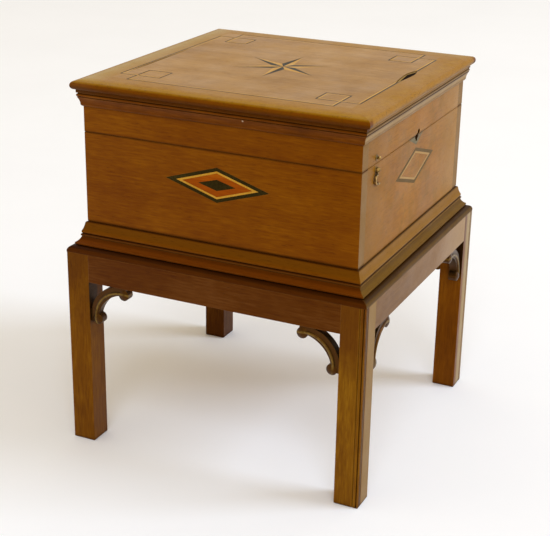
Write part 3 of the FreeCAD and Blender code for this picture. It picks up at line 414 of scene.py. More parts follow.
def lid_shade(m, colour):
    """Golden cross-banding outside the string, with a painted sheen that makes it paler and greener behind;
    painted light and shade on the nose, with dark specks; a dark floor in the gaps, with a split painted
    black as shade.
    """
    x, y, z = m.split(m.place)
    aside = m.minus(m.size(x), STRING_AT[0])
    beyond = m.larger(aside, m.minus(m.size(y), STRING_AT[1]))
    colour = m.mix(m.share(beyond, BANDING_SPAN, BANDING_SHARE), colour, BANDING)
    bright = m.times(m.share(beyond, BRIGHT_SPAN), mottle(m, *BRIGHT_PATCHES))
    colour = m.mix(bright, colour, BRIGHT)
    brown = m.times(m.share(beyond, BROWN_SPAN, BROWN_SHARE), mottle(m, *BROWN_PATCHES))
    colour = m.mix(brown, colour, BROWN)
    # Painted sheen on the banding at the back and at the right
    behind = m.larger(m.share(y, SHEEN_BEHIND_Y, SHEEN_BEHIND_Y_SHARE), m.share(x, SHEEN_BEHIND_X, SHEEN_BEHIND_X_SHARE))
    colour = m.mix(behind, colour, SHEEN_BEHIND)
    front = m.share(m.minus(m.minus(-STRING_AT[1], y), aside), MITRE_SPAN)
    # Painted light and shade on the nose: a painted highlight along its edge and painted shade underneath,
    # paler in front
    side_nose = by_member(m, colour, LID_TOP, NOSE_MEMBERS, SIDE_NOSE, SIDE_NOSE_SHARE)
    front_nose = by_member(m, colour, LID_TOP, NOSE_MEMBERS, FRONT_NOSE, LID_SHARE)
    colour = m.mix(m.share(beyond, NOSE_SPAN), colour, m.mix(front, side_nose, front_nose))
    lifted = m.times(m.share(x, LIFTED_START), m.share(x, LIFTED_END))
    lifted = m.times(lifted, m.share(m.away(y, -STRING_AT[1]), LIFTED_SPAN, LIFTED_SHARE))
    colour = m.mix(lifted, colour, LIFTED)
    specks = m.times(m.share(beyond, SPECK_SPAN), mottle(m, *SPECK_PATCHES))
    colour = m.mix(m.times(specks, SPECK_SHARE), colour, SPECKS)
    m.dull = m.times(m.below(z, LID_TOP - GAP_DEPTH), m.below(beyond, GAP_REACH))
    return m.mix(m.dull, colour, gap_floor(m, x, y))


def chip_shade(m, colour):
    """A small pale chip in the polish."""
    return m.mix(m.share(m.vector("DISTANCE", m.place, CHIP_AT), CHIP_SPAN), colour, CHIP)


# ---------------------------------------------------------------- shades of the front

# Cosines between a surface and the front, where it starts to count as the front
TURNED = (0.7, 0.95)

END_GRAIN = (118, 84, 18)
END_GRAIN_SHARE = 0.9

# Keyhole and nick: the box around them, painted black inside as shade, and an ellipse of the same painted
# shade around its centre
HOLE_HALF_WIDTH = 0.016
HOLE_HALF_HEIGHT = 0.012
HOLE_DEPTH = 0.0004
HOLE_SHADE = (10, 6, 3)
HOLE_SHADE_X = 0.0004
HOLE_SHADE_DROP = 0.002
HOLE_SHADE_HALF_WIDTH = 0.0085
HOLE_SHADE_HALF_HEIGHT = 0.0036
HOLE_SHADE_SPAN = (1.0, 0.7)
HOLE_SHADE_SHARE = 0.95
JOINT_DIRT = (92, 68, 14)
JOINT_X = (0.036, 0.022)
JOINT_SPAN = (0.0034, 0.001)
JOINT_SHARE = 0.6

ESCUTCHEON_BROWN = (98, 74, 24)
ESCUTCHEON_X = (0.002, 0.012)
ESCUTCHEON_SHARE = 0.8

BOARD_GOLD = (150, 94, 0)
BOARD_GOLD_PATCHES = (22.0, 0.5, 0.62)
BOARD_GOLD_SHARE = 0.6
BOARD_GREEN = (120, 82, 6)
BOARD_GREEN_PATCHES = (31.0, 0.52, 0.6)
BOARD_GREEN_SHARE = 0.5
# Painted sheen along the front: darker and greener at the hook end, paler at the other
BOARD_LEFT_SHADE = (124, 82, 8)
BOARD_LEFT_X = (-0.08, -0.19)
BOARD_RIGHT_SHEEN = (156, 114, 54)
BOARD_RIGHT_X = (0.07, 0.2)
BOARD_END_SHARE = 0.8

# Painted sheen on the front rail, paler towards the right
RAIL_MIDDLE_SHEEN = (130, 95, 52)
RAIL_MIDDLE_X = (-0.1, 0.15)
RAIL_MIDDLE_SHARE = 0.8
RAIL_RIGHT_SHEEN = (152, 124, 86)
RAIL_RIGHT_X = (0.06, 0.2)
RAIL_RIGHT_SHARE = 0.9

# Tones of the ebony and the boxwood on the front: painted light and sheen
FRONT_LIT_EBONY = (96, 70, 22)
FRONT_LIT_EBONY_SHARE = 0.85
FRONT_LIT_BOXWOOD = (154, 120, 66)
FRONT_LIT_BOXWOOD_SHARE = 0.8


def on_front(m, most=1.0):
    return m.share(m.facing(FRONT), TURNED, most)


def side_board_shade(m, colour):
    """The end grain that shows on the front is greyer."""
    return m.mix(on_front(m, END_GRAIN_SHARE), colour, END_GRAIN)


def keyhole_shade(m, colour):
    """Painted black shade inside the keyhole and the nick above it and in an ellipse round them, and dirt
    along the joint.
    """
    x, y, z = m.split(m.place)
    level = m.minus(z, SEAM)
    near = m.times(m.below(m.size(x), HOLE_HALF_WIDTH), m.below(m.size(level), HOLE_HALF_HEIGHT))
    inside = m.times(near, m.math("GREATER_THAN", y, FRONT_FACE + HOLE_DEPTH))
    joint = m.times(m.share(m.size(x), JOINT_X), m.share(m.size(level), JOINT_SPAN, JOINT_SHARE))
    colour = m.mix(joint, colour, JOINT_DIRT)
    wide = m.math("DIVIDE", m.minus(x, HOLE_SHADE_X), HOLE_SHADE_HALF_WIDTH)
    tall = m.math("DIVIDE", m.plus(level, HOLE_SHADE_DROP), HOLE_SHADE_HALF_HEIGHT)
    # Painted shade: black inside the holes and in the ellipse round them; the polish is dulled there too
    m.dull = m.larger(inside, m.share(m.length(wide, tall), HOLE_SHADE_SPAN, HOLE_SHADE_SHARE))
    return m.mix(m.dull, colour, HOLE_SHADE)


def escutcheon_shade(m, colour):
    """Greyer at the left, browner towards the other end."""
    share = m.share(m.split(m.place)[0], ESCUTCHEON_X, ESCUTCHEON_SHARE)
    return keyhole_shade(m, m.mix(share, colour, ESCUTCHEON_BROWN))


def front_board_shade(m, colour):
    """Golden patches; a painted sheen along the front, darker and greener at the hook and paler at the other
    end.
    """
    x = m.split(m.place)[0]
    colour = m.mix(m.times(mottle(m, *BOARD_GOLD_PATCHES), BOARD_GOLD_SHARE), colour, BOARD_GOLD)
    colour = m.mix(m.times(mottle(m, *BOARD_GREEN_PATCHES), BOARD_GREEN_SHARE), colour, BOARD_GREEN)
    colour = m.mix(m.share(x, BOARD_LEFT_X, BOARD_END_SHARE), colour, BOARD_LEFT_SHADE)
    colour = m.mix(m.share(x, BOARD_RIGHT_X, BOARD_END_SHARE), colour, BOARD_RIGHT_SHEEN)
    return keyhole_shade(m, colour)


def front_rail_shade(m, colour):
    """Painted sheen: paler towards the right."""
    x = m.split(m.place)[0]
    colour = m.mix(m.share(x, RAIL_MIDDLE_X, RAIL_MIDDLE_SHARE), colour, RAIL_MIDDLE_SHEEN)
    return m.mix(m.share(x, RAIL_RIGHT_X, RAIL_RIGHT_SHARE), colour, RAIL_RIGHT_SHEEN)


def front_lit_ebony_shade(m, colour):
    """Paler on the front: painted light and sheen."""
    return m.mix(on_front(m, FRONT_LIT_EBONY_SHARE), colour, FRONT_LIT_EBONY)


def front_lit_boxwood_shade(m, colour):
    """Paler and greyer on the front: painted sheen."""
    return m.mix(on_front(m, FRONT_LIT_BOXWOOD_SHARE), colour, FRONT_LIT_BOXWOOD)


# ---------------------------------------------------------------- shades of the legs and brackets

# Legs darken towards the rail to the rail's tone, in part a painted shade
LEG_TOP = (80, 41, 1)
LEG_TOP_SPAN = (0.19, 0.27)
LEG_TOP_SHARE = 0.8
LEG_TOP_PATCHES = (16.0, 0.3, 0.7)
LEG_TOP_WANDER = 0.09

# The patch of painted shade behind a bracket: height against the rail's bottom, and the way in from the
# outer face
BRACKET_SHADE_HEIGHT = (-0.07, -0.05)
BRACKET_SHADE_INSET = (0.026, 0.018)
RIGHT_BRACKET_SHADE = (26, 16, 3)
LEFT_BRACKET_SHADE = (26, 20, 6)
LEFT_BRACKET_SHADE_SHARE = 0.85

# Near leg: painted light on the front, a painted shade line between its reeds and painted light in the
# side's inner quirk
NEAR_FRONT_LIT = (125, 94, 37)
NEAR_FRONT_LIT_SPAN = (0.006, 0.014)
NEAR_SHADE_LINE = (40, 24, 2)
NEAR_LINE_AT = 0.0062
NEAR_LINE_SPAN = (0.0034, 0.0014)
NEAR_LINE_SHARE = 0.85
QUIRK_LIGHT = (118, 78, 12)
QUIRK_AT = 0.0084
QUIRK_SPAN = (0.002, 0.0014)
QUIRK_FACE = 0.004
QUIRK_SHARE = 0.6

# Painted sheen on the front of the right leg
RIGHT_FRONT_SHEEN = (146, 122, 78)
RIGHT_FRONT_SHEEN_X = (0.197, 0.206)

# The painted highlight on the ridge of a bracket is part of a circle about a centre this far from the leg
# and the rail
SCROLL_CENTRE = 0.052
SCROLL_RADIUS = 0.0428
SCROLL_SPAN = (0.0022, 0.0005)
SCROLL_PATCHES = (150.0, 0.3, 0.6)
RIDGE_HIGHLIGHT = (112, 94, 42)


def leg_shade(m, colour):
    """Redder and darker towards the rail, in part a painted shade as on the rail; rubbed golden lower down.
    """
    z = m.split(m.place)[2]
    blotch = m.times(m.minus(mottle(m, *LEG_TOP_PATCHES), 0.5), LEG_TOP_WANDER)
    return m.mix(m.share(m.plus(z, blotch), LEG_TOP_SPAN, LEG_TOP_SHARE), colour, LEG_TOP)


def shade_behind_bracket(m, inset):
    """1 on the patch of painted shade behind a bracket on its leg; inset is the way in from the outer face.
    """
    low, high = BRACKET_SHADE_HEIGHT
    height = m.spread(m.split(m.place)[2], RAIL_BOTTOM + low, RAIL_BOTTOM + high)
    return m.times(height, m.share(inset, BRACKET_SHADE_INSET))


def near_leg_shade(m, colour):
    """Paler on the front, a painted light, with a painted shade line between its reeds there; in the inner
    quirk of the side the dirt and painted crevice shade are left off and a paler tone is painted as light.
    """
    x, y, z = m.split(m.place)
    across = m.plus(x, STAND_HALF[0])
    back = m.plus(y, STAND_HALF[1])
    colour = leg_shade(m, colour)
    front = on_front(m)
    colour = m.mix(m.times(front, m.share(across, NEAR_FRONT_LIT_SPAN)), colour, NEAR_FRONT_LIT)
    line = m.share(m.away(across, NEAR_LINE_AT), NEAR_LINE_SPAN, NEAR_LINE_SHARE)
    colour = m.mix(m.times(front, line), colour, NEAR_SHADE_LINE)
    m.clean = m.times(m.below(across, QUIRK_FACE), m.share(m.away(back, QUIRK_AT), QUIRK_SPAN))
    return m.mix(m.times(m.clean, QUIRK_SHARE), colour, QUIRK_LIGHT)


def right_leg_shade(m, colour):
    """Painted sheen on the front, painted black shade behind the bracket."""
    x, y, z = m.split(m.place)
    colour = leg_shade(m, colour)
    colour = m.mix(m.times(on_front(m), m.share(x, RIGHT_FRONT_SHEEN_X)), colour, RIGHT_FRONT_SHEEN)
    behind = m.times(m.facing(LEFT), shade_behind_bracket(m, m.plus(y, STAND_HALF[1])))
    return m.mix(behind, colour, RIGHT_BRACKET_SHADE)


def left_leg_shade(m, colour):
    """Painted black shade behind the bracket."""
    colour = leg_shade(m, colour)
    inset = m.plus(m.split(m.place)[0], STAND_HALF[0])
    behind = m.times(on_front(m), shade_behind_bracket(m, inset))
    return m.mix(m.times(behind, LEFT_BRACKET_SHADE_SHARE), colour, LEFT_BRACKET_SHADE)


def bracket_shade(m, colour):
    """A painted highlight on the ridge along the scroll."""
    x, y, z = m.split(m.place)
    out = m.larger(m.minus(LEG_FACE[0], m.size(x)), m.minus(LEG_FACE[1], m.size(y)))
    across = m.minus(out, SCROLL_CENTRE)
    down = m.minus(m.minus(RAIL_BOTTOM, z), SCROLL_CENTRE)
    line = m.share(m.away(m.length(across, down), SCROLL_RADIUS), SCROLL_SPAN)
    return m.mix(m.times(line, mottle(m, *SCROLL_PATCHES)), colour, RIDGE_HIGHLIGHT)


# ---------------------------------------------------------------- wood

# Layers of the grain: scales along the grain and across it, and settings of the noise
WANDER = dict(far=3.0, near=14.0, detail=2)
STREAKS = dict(far=7.0, near=260.0, detail=4, roughness=0.6)
FLECKS = dict(far=42.0, near=420.0, detail=2, roughness=0.5)
BANDS = dict(far=2.6, near=38.0, detail=3, roughness=0.55)
CLOUDS = dict(far=9.0, near=9.0, detail=3, roughness=0.6)
PORES = dict(far=75.0, near=1500.0, detail=1)
WEAR = dict(far=60.0, near=60.0, detail=3, roughness=0.7)
POLISH = dict(far=14.0, near=14.0, detail=4, roughness=0.65)
RIPPLE = dict(far=38.0, near=38.0, detail=2)

WOOD_SHIFT = (1.37, 2.11, 0.73)
WANDER_SIZE = 0.012
STREAK_WEIGHT = 0.9
FLECK_WEIGHT = 1.6
BAND_WEIGHT = 1.1
CLOUD_WEIGHT = 0.8
TONE_PLACES = (0.15, 0.5, 0.85)
PORE_SPAN = (0.60, 0.74)
PORE_STAIN = (120, 84, 50)
WOOD_ROUNDING = 0.0012
WEAR_SPAN = (0.38, 0.62)
WEAR_LEAST = 0.15
# Dark of the dirt in the joints and of the painted shade in grooves and inner corners
DIRT_AND_SHADE = (41, 15, 0)
CREVICE_SHADE_SPAN = (0.12, 0.6)
DIRT_AND_SHADE_ROUGHNESS = 0.25
LINE_SPAN = (0.0028, 0.0008)
POLISH_SPAN = (0.3, 0.7)
SMOOTHER = 0.07
ROUGHER = 0.09
STREAK_RELIEF = 0.5
GRAIN_BUMP = (0.16, 0.0004)
RIPPLE_BUMP = (0.10, 0.0012)
SHEEN = (255, 150, 50)


def wood(name, grain, dark, middle, light, seed, roughness=0.42, figure=0.5, fleck=0.45, pores=0.5,
         gloss=0.3, crevice_shade=0.92, crevice_shade_reach=0.008, worn=(178, 122, 50), wear=0.3, lines=(), joint=0.6,
         shade=None):
    """Aged, polished wood with its grain along one axis; lines are heights where dirt sits in a joint, and
    grooves and inner corners get a painted shade.
    """
    m = Shader(name)
    shift = shifted(seed, WOOD_SHIFT)

    def layer(place, far, near, **settings):
        return m.noise(m.stretched(place, along(grain, far, near), shift), **settings)

    bend = m.times(m.minus(layer(m.place, **WANDER), 0.5), WANDER_SIZE)
    bent = m.vector("ADD", m.place, bend)
    streaks = layer(bent, **STREAKS)
    tone = m.times(m.minus(streaks, 0.5), STREAK_WEIGHT * figure)
    tone = m.plus(tone, m.times(m.minus(layer(bent, **FLECKS), 0.5), FLECK_WEIGHT * fleck))
    tone = m.plus(tone, m.times(m.minus(layer(bent, **BANDS), 0.5), BAND_WEIGHT * figure))
    tone = m.plus(tone, m.times(m.minus(layer(m.place, **CLOUDS), 0.5), CLOUD_WEIGHT))
    tone = m.math("ADD", tone, 0.5, clamp=True)
    colour = m.ramp(tone, *zip(TONE_PLACES, (dark, middle, light)))
    if shade is not None:
        colour = shade(m, colour)

    pore = m.spread(layer(bent, **PORES), *PORE_SPAN)
    colour = m.mix(m.times(pore, pores), colour, m.mix(1.0, colour, PORE_STAIN, "MULTIPLY"))
    rounded = m.rounding(WOOD_ROUNDING)
    rubbed = m.times(m.edge(rounded), m.spread(layer(m.place, **WEAR), *WEAR_SPAN, WEAR_LEAST, 1.0))
    colour = m.mix(m.times(rubbed, wear), colour, worn)
    # Painted shade: darker in grooves and inner corners, where other surfaces are near; the lines add dirt
    # in the joints
    dirt_and_shade = m.crevice(crevice_shade_reach, CREVICE_SHADE_SPAN, crevice_shade)
    for height in lines:
        dirt_and_shade = m.larger(dirt_and_shade, m.share(m.away(m.split(m.place)[2], height), LINE_SPAN, joint))
    dirt_and_shade = m.times(dirt_and_shade, m.minus(1.0, m.clean))
    m.put(m.main.inputs["Base Color"], m.mix(dirt_and_shade, colour, DIRT_AND_SHADE))

    rough = m.spread(layer(m.place, **POLISH), *POLISH_SPAN, roughness - SMOOTHER, roughness + ROUGHER)
    rough = m.larger(m.plus(rough, m.times(dirt_and_shade, DIRT_AND_SHADE_ROUGHNESS)), m.dull)
    m.put(m.main.inputs["Roughness"], rough)
    relief = m.minus(m.times(streaks, STREAK_RELIEF), pore)
    normal = m.bump(relief, *GRAIN_BUMP, rounded)
    m.put(m.main.inputs["Normal"], m.bump(layer(m.place, **RIPPLE), *RIPPLE_BUMP, normal))
    m.constants(Specular_IOR_Level=gloss, Specular_Tint=linear(SHEEN))
    return m.material


# ---------------------------------------------------------------- metals

# A recess is how far its dirt reaches, the span of that and its most.
BRASS_SHIFT = (0.9, 1.7, 2.3)
BRASS_CLOUD_SCALE = 160.0
BRASS_CLOUDS = dict(detail=5, roughness=0.65)
BRASS_SPECK_SCALE = 900.0
BRASS_SPECKS = dict(detail=2)
BRASS_TONES = ((0.3, (120, 88, 38)), (0.5, (172, 134, 66)), (0.72, (208, 172, 98)))
BRASS_DULL = ((58, 42, 20), (92, 66, 30))
BRASS_DULL_SPAN = (0.4, 0.66)
BRASS_RECESS = (0.003, (0.1, 0.7), 0.9)
BRASS_TARNISH_SPAN = (0.62, 0.4)
BRASS_EDGE = (232, 202, 132)
BRASS_EDGE_SHARE = 0.6
BRASS_HOLE_SHADE = (10, 8, 5)
BRASS_ROUNDING = 0.0005
BRASS_ROUGHNESS = 0.34
BRASS_SMOOTHER = 0.06
BRASS_ROUGHER = 0.12
BRASS_DULL_ROUGHNESS = 0.2
BRASS_BUMP = (0.12, 0.0002)

STEEL_SHIFT = (1.1, 0.6, 1.9)
STEEL_BRUSH_SCALES = (60.0, 2600.0)
STEEL_BRUSHING = dict(detail=2)
STEEL_TONES = ((0.3, (104, 100, 94)), (0.7, (158, 154, 147)))
STEEL_CLOUD_SCALE = 130.0
STEEL_CLOUDS = dict(detail=5, roughness=0.7)
STEEL_RUST = (74, 52, 36)
STEEL_RUST_SPAN = (0.52, 0.68)
STEEL_RECESS = (0.002, (0.1, 0.7), 0.8)
STEEL_GRIME = (30, 24, 20)
STEEL_ROUNDING = 0.0004
STEEL_ROUGHNESS = (0.34, 0.58)
STEEL_BUMP = (0.15, 0.0001)

CLOUD_SPAN = (0.3, 0.7)


def brass(name, seed, tarnish, hole_shade=0.0):
    """Aged brass; a painted black shade darkens what faces the front, for the lock seen through its holes.
    """
    m = Shader(name)
    shift = shifted(seed, BRASS_SHIFT)
    clouds = m.noise(m.stretched(m.place, even(BRASS_CLOUD_SCALE), shift), **BRASS_CLOUDS)
    specks = m.noise(m.stretched(m.place, even(BRASS_SPECK_SCALE), shift), **BRASS_SPECKS)
    rounded = m.rounding(BRASS_ROUNDING)
    dull = m.mix(m.spread(specks, *BRASS_DULL_SPAN), *BRASS_DULL)
    tarnished = m.times(m.spread(clouds, *BRASS_TARNISH_SPAN), tarnish)
    share = m.larger(m.crevice(*BRASS_RECESS), tarnished)
    colour = m.mix(share, m.ramp(clouds, *BRASS_TONES), dull)
    colour = m.mix(m.times(m.edge(rounded), BRASS_EDGE_SHARE), colour, BRASS_EDGE)
    # Painted shade: blackens what faces the front, for the lock seen through the keyhole and nick
    colour = m.mix(m.times(m.facing(FRONT), hole_shade), colour, BRASS_HOLE_SHADE)
    low, high = BRASS_ROUGHNESS - BRASS_SMOOTHER, BRASS_ROUGHNESS + BRASS_ROUGHER
    rough = m.plus(m.spread(clouds, *CLOUD_SPAN, low, high), m.times(share, BRASS_DULL_ROUGHNESS))
    m.put(m.main.inputs["Base Color"], colour)
    m.put(m.main.inputs["Roughness"], rough)
    m.put(m.main.inputs["Normal"], m.bump(specks, *BRASS_BUMP, rounded))
    m.constants(Metallic=1.0)
    return m.material


def steel(name, seed, axis="x"):
    """Brushed steel with a little rust."""
    m = Shader(name)
    shift = shifted(seed, STEEL_SHIFT)
    brushed = m.noise(m.stretched(m.place, along(axis, *STEEL_BRUSH_SCALES), shift), **STEEL_BRUSHING)
    clouds = m.noise(m.stretched(m.place, even(STEEL_CLOUD_SCALE), shift), **STEEL_CLOUDS)
    rounded = m.rounding(STEEL_ROUNDING)
    colour = m.mix(m.spread(clouds, *STEEL_RUST_SPAN), m.ramp(brushed, *STEEL_TONES), STEEL_RUST)
    colour = m.mix(m.crevice(*STEEL_RECESS), colour, STEEL_GRIME)
    m.put(m.main.inputs["Base Color"], colour)
    m.put(m.main.inputs["Roughness"], m.spread(clouds, *CLOUD_SPAN, *STEEL_ROUGHNESS))
    m.put(m.main.inputs["Normal"], m.bump(brushed, *STEEL_BUMP, rounded))
    m.constants(Metallic=1.0)
    return m.material


# ---------------------------------------------------------------- what each piece is made of

GRAIN = {"front": "x", "back": "x", "left": "y", "right": "y"}
SIDES = tuple(GRAIN)

# Seeds shift the textures, so that no two of these pieces look the same.
LID_SEED = 0.4
RAIL_SEED = 10
STAND_MOULDING_SEED = 20
BASE_MOULDING_SEED = 30
LID_MOULDING_SEED = 40
LEG_SEED = 50
BRACKET_SEED = 60

JOINT_RISE = 0.0014
RAIL_CONTRAST = 16

# The front boards' tones are paler and yellower than the sides': painted light and sheen
BOARDS = {
    "front": dict(dark=(116, 70, 4), middle=(138, 88, 10), light=(158, 106, 26), figure=0.35, fleck=0.35,
                  gloss=0.2, crevice_shade=0.6, joint=0.15, shade=front_board_shade),
    "back": dict(dark=(100, 56, 4), middle=(126, 76, 10), light=(150, 98, 26)),
    "left": dict(dark=(94, 44, 0), middle=(111, 59, 0), light=(130, 76, 2), shade=side_board_shade),
    "right": dict(dark=(96, 50, 2), middle=(120, 70, 6), light=(144, 92, 18), shade=side_board_shade),
}
# The front rail is paler: painted light and sheen; the left rail's darker tone is partly painted shade
RAILS = {"front": (98, 65, 18), "back": (84, 48, 10), "left": (76, 37, 1), "right": (88, 48, 8)}
FRONT_RAIL = dict(gloss=0.5, shade=front_rail_shade)
STAND_MOULDING = dict(dark=(70, 32, 2), middle=(96, 44, 2), light=(120, 64, 8), roughness=0.5, gloss=0.15)
BASE_MOULDING = dict(dark=(70, 34, 2), middle=(94, 50, 2), light=(120, 72, 8), gloss=0.15)
# The front lid moulding is paler than the others: painted light and sheen
FRONT_LID_MOULDING = dict(dark=(104, 74, 26), middle=(134, 100, 46), light=(160, 128, 68),
                          shade=member_shade(LID_FOOT, LID_MEMBERS, FRONT_LID, LID_SHARE))
LID_MOULDING = dict(dark=(70, 32, 0), middle=(94, 46, 0), light=(120, 68, 6), shade=chip_shade)
LEGS = {
    "front_left": dict(dark=(84, 46, 0), middle=(111, 70, 1), light=(138, 96, 12), gloss=0.4,
                       shade=near_leg_shade),
    "front_right": dict(dark=(76, 38, 0), middle=(100, 53, 0), light=(124, 74, 6), gloss=0.5,
                        shade=right_leg_shade),
    "back_left": dict(dark=(80, 42, 0), middle=(106, 62, 0), light=(130, 84, 6), gloss=0.2,
                      shade=left_leg_shade),
    # The back right leg is darker: painted shade
    "back_right": dict(dark=(50, 22, 0), middle=(66, 31, 0), light=(90, 52, 2), gloss=0.2,
                       shade=leg_shade),
}
BRACKETS = dict(dark=(14, 11, 4), middle=(25, 21, 7), light=(36, 30, 11), roughness=0.34, gloss=0.7,
                worn=(106, 90, 44), wear=0.5, pores=0.2, crevice_shade=0.25, shade=bracket_shade)
SLATS = dict(dark=(84, 46, 22), middle=(120, 72, 38), light=(148, 96, 56), roughness=0.6, gloss=0.3)

# Woods of the other pieces: name of the material, direction of the grain, settings and pieces
OTHER_WOODS = (
    ("lid_top", "y",
     dict(dark=(134, 94, 38), middle=(160, 118, 60), light=(182, 140, 80), seed=3.3, figure=0.4, fleck=0.25,
          gloss=0.15, shade=lid_shade),
     ("lid_top",)),
    ("pegs", "x",
     dict(dark=(110, 72, 36), middle=(146, 104, 60), light=(174, 134, 84), seed=5.1),
     ("tenon_pegs",)),
    ("pine", "x",
     dict(dark=(156, 112, 62), middle=(190, 148, 92), light=(212, 176, 122), seed=5.9, roughness=0.7,
          gloss=0.2, pores=0.2),
     ("chest_bottom",)),
    ("slats_across", "x", dict(seed=6.3, **SLATS), ("divider_front", "divider_rear")),
    ("slats_along", "y", dict(seed=6.9, **SLATS), ("divider_left", "divider_right")),
    ("ebony", "x",
     dict(dark=(26, 22, 6), middle=(42, 37, 12), light=(62, 55, 22), seed=7.7, gloss=0.1, wear=0.1,
          pores=0.2, crevice_shade=0.3, shade=front_lit_ebony_shade),
     ("lozenge_ebony", "star_dark", "stringing_dark")),
    ("boxwood", "x",
     dict(dark=(160, 110, 24), middle=(184, 134, 40), light=(204, 156, 64), seed=8.3, wear=0.1,
          pores=0.1, crevice_shade=0.3, shade=front_lit_boxwood_shade),
     ("lozenge_boxwood", "star_light", "stringing_light")),
    ("satinwood", "y",
     dict(dark=(124, 52, 0), middle=(144, 66, 0), light=(168, 90, 4), seed=8.9, wear=0.1, pores=0.1,
          crevice_shade=0.3),
     ("lozenge_satinwood",)),
    ("sycamore", "x",
     dict(dark=(56, 50, 22), middle=(80, 72, 36), light=(108, 98, 54), seed=9.4, wear=0.1, pores=0.1,
          shade=escutcheon_shade),
     ("escutcheon",)),
)


def paint(material, *names):
    for name in names:
        for slot in nodes[name].material_slots:
            slot.material = material


def paint_wood(name, grain, seed, **settings):
    """Its own wood for one piece, under the name of that piece."""
    paint(wood(name, grain, seed=seed, **settings), name)


def varied(colour, amount):
    """Dark, middle and light around a colour."""
    tones = []
    for step in (-amount, 0, amount):
        tones.append(tuple(value + step for value in colour))
    return dict(zip(("dark", "middle", "light"), tones))


def dress_side(side, seed):
    """Boards, rail and mouldings of one side."""
    grain = GRAIN[side]
    front = side == "front"
    board = BOARDS[side]
    rail = FRONT_RAIL if front else {}
    stand_tones = FRONT_STAND if front else SIDE_STAND
    base_tones = FRONT_BASE if front else SIDE_BASE
    stand_shade = member_shade(LEDGE, STAND_MEMBERS, stand_tones, STAND_SHARE)
    base_shade = member_shade(BASE, BASE_MEMBERS, base_tones, STAND_SHARE)
    lid_moulding = FRONT_LID_MOULDING if front else LID_MOULDING
    paint_wood("chest_" + side, grain, seed, lines=(SEAM, CHEST_FOOT + JOINT_RISE), **board)
    paint_wood("lid_" + side, grain, seed + LID_SEED, lines=(SEAM,), **board)
    paint_wood("rail_" + side, grain, seed + RAIL_SEED, **varied(RAILS[side], RAIL_CONTRAST), **rail)
    paint_wood("stand_moulding_" + side, grain, seed + STAND_MOULDING_SEED, shade=stand_shade,
               **STAND_MOULDING)
    paint_wood("base_moulding_" + side, grain, seed + BASE_MOULDING_SEED, shade=base_shade,
               **BASE_MOULDING)
    paint_wood("lid_moulding_" + side, grain, seed + LID_MOULDING_SEED, **lid_moulding)


def dress():
    for seed, side in enumerate(SIDES, 1):
        dress_side(side, seed)
    for seed, (corner, leg) in enumerate(LEGS.items(), 1):
        paint_wood("leg_" + corner, "z", seed + LEG_SEED, **leg)
        paint_wood("brackets_" + corner, "z", seed + BRACKET_SEED, **BRACKETS)
    for name, grain, settings, pieces in OTHER_WOODS:
        paint(wood(name, grain, **settings), *pieces)
    paint(brass("brass_hook", 1.0, tarnish=0.85), "hook", "hook_pivot_screw", "hook_stud")
    paint(brass("brass_hinges", 2.0, tarnish=0.4), "hinge_lower_left", "hinge_lower_right",
          "hinge_upper_left", "hinge_upper_right")
    paint(brass("brass_lock", 3.0, tarnish=0.3, hole_shade=0.95), "lock_case", "lock_link_plate")
    paint(steel("steel", 1.0), "lock_bolt", "hinge_pins")
    paint(steel("screws", 2.0, "z"), "chest_screws", "lid_screws")


# ---------------------------------------------------------------- floor and light

# Linear colours
BACKDROP = (0.92, 0.9, 0.87, 1)
WORLD_LIGHT = (1.0, 0.88, 0.69, 1)
WORLD_STRENGTH = 0.7
RIGHT_COLOUR = (0.68, 0.80, 1.0)
FRONT_COLOUR = (0.72, 0.82, 1.0)

FLOOR_HALF = 14.0
FLOOR_GRAIN_SCALE = 3.0
FLOOR_GRAIN = dict(detail=4)
FLOOR_TONES = ((0.3, (248, 248, 248)), (0.7, (250, 250, 250)))
FLOOR_ROUGHNESS = 0.9
FLOOR_GLOSS = 0.2
# Distances from the object where the floor fades into the backdrop
FLOOR_FADE = (3.0, 7.0)

LAMPS_AIM = (0, 0, 0.2)
RIGHT_AT = (3.4, -10.5, 8.6)
RIGHT_SIZE = 5.6
RIGHT_ENERGY = 1100
FRONT_AT = (-8.2, -3.8, 10.8)
FRONT_SIZE = 5.8
FRONT_ENERGY = 650


def seen_directly(tree):
    """1 for camera, glossy and transmission rays, 0 for the rays that light the object."""
    path = tree.nodes.new("ShaderNodeLightPath")
    share = path.outputs["Is Camera Ray"]
    for name in ("Is Glossy Ray", "Is Transmission Ray"):
        both = tree.nodes.new("ShaderNodeMath")
        both.operation = "MAXIMUM"
        tree.links.new(share, both.inputs[0])
        tree.links.new(path.outputs[name], both.inputs[1])
        share = both.outputs[0]
    return share


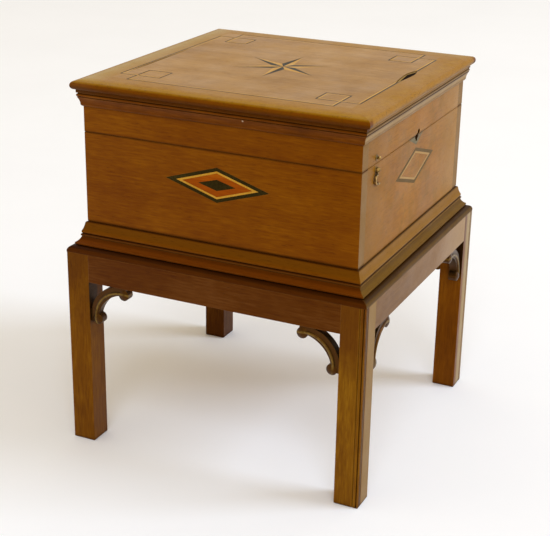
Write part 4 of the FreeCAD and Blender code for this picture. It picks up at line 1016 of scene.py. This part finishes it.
def make_stage():
    data = bpy.data.meshes.new("floor")
    half = FLOOR_HALF
    corners = [(-half, -half, 0), (half, -half, 0), (half, half, 0), (-half, half, 0)]
    data.from_pydata(corners, [], [(0, 1, 2, 3)])
    floor = bpy.data.objects.new("floor", data)
    bpy.context.scene.collection.objects.link(floor)
    m = Shader("floor")
    grain = m.noise(m.stretched(m.place, even(FLOOR_GRAIN_SCALE)), **FLOOR_GRAIN)
    m.put(m.main.inputs["Base Color"], m.ramp(grain, *FLOOR_TONES))
    m.constants(Roughness=FLOOR_ROUGHNESS, Specular_IOR_Level=FLOOR_GLOSS)
    glow = m.node("Emission")
    glow.inputs["Color"].default_value = BACKDROP
    far = m.spread(m.vector("LENGTH", m.place, (0, 0, 0)), *FLOOR_FADE)
    blend = m.node("MixShader")
    m.put(blend.inputs[0], m.times(far, seen_directly(m.tree)))
    m.put(blend.inputs[1], m.main.outputs[0])
    m.put(blend.inputs[2], glow.outputs[0])
    m.put(m.tree.nodes["Material Output"].inputs["Surface"], blend.outputs[0])
    data.materials.append(m.material)


def make_world():
    world = bpy.data.worlds.new("studio")
    bpy.context.scene.world = world
    world.use_nodes = True
    tree = world.node_tree
    light = tree.nodes["Background"]
    light.inputs["Color"].default_value = WORLD_LIGHT
    light.inputs["Strength"].default_value = WORLD_STRENGTH
    white = tree.nodes.new("ShaderNodeBackground")
    white.inputs["Color"].default_value = BACKDROP
    white.inputs["Strength"].default_value = 1.0
    mix = tree.nodes.new("ShaderNodeMixShader")
    tree.links.new(seen_directly(tree), mix.inputs[0])
    tree.links.new(light.outputs[0], mix.inputs[1])
    tree.links.new(white.outputs[0], mix.inputs[2])
    tree.links.new(mix.outputs[0], tree.nodes["World Output"].inputs["Surface"])


def softbox(name, at, size, energy, colour):
    """A large square lamp that is aimed at the object."""
    data = bpy.data.lights.new(name, "AREA")
    data.shape = "SQUARE"
    data.size = size
    data.energy = energy
    data.color = colour
    lamp = bpy.data.objects.new(name, data)
    bpy.context.scene.collection.objects.link(lamp)
    lamp.location = at
    lamp.rotation_euler = (Vector(LAMPS_AIM) - Vector(at)).to_track_quat("-Z", "Y").to_euler()


make_camera()
dress()
make_stage()
make_world()
softbox("right", RIGHT_AT, RIGHT_SIZE, RIGHT_ENERGY, RIGHT_COLOUR)
softbox("front", FRONT_AT, FRONT_SIZE, FRONT_ENERGY, FRONT_COLOUR)
bpy.context.scene.view_settings.view_transform = "Standard"
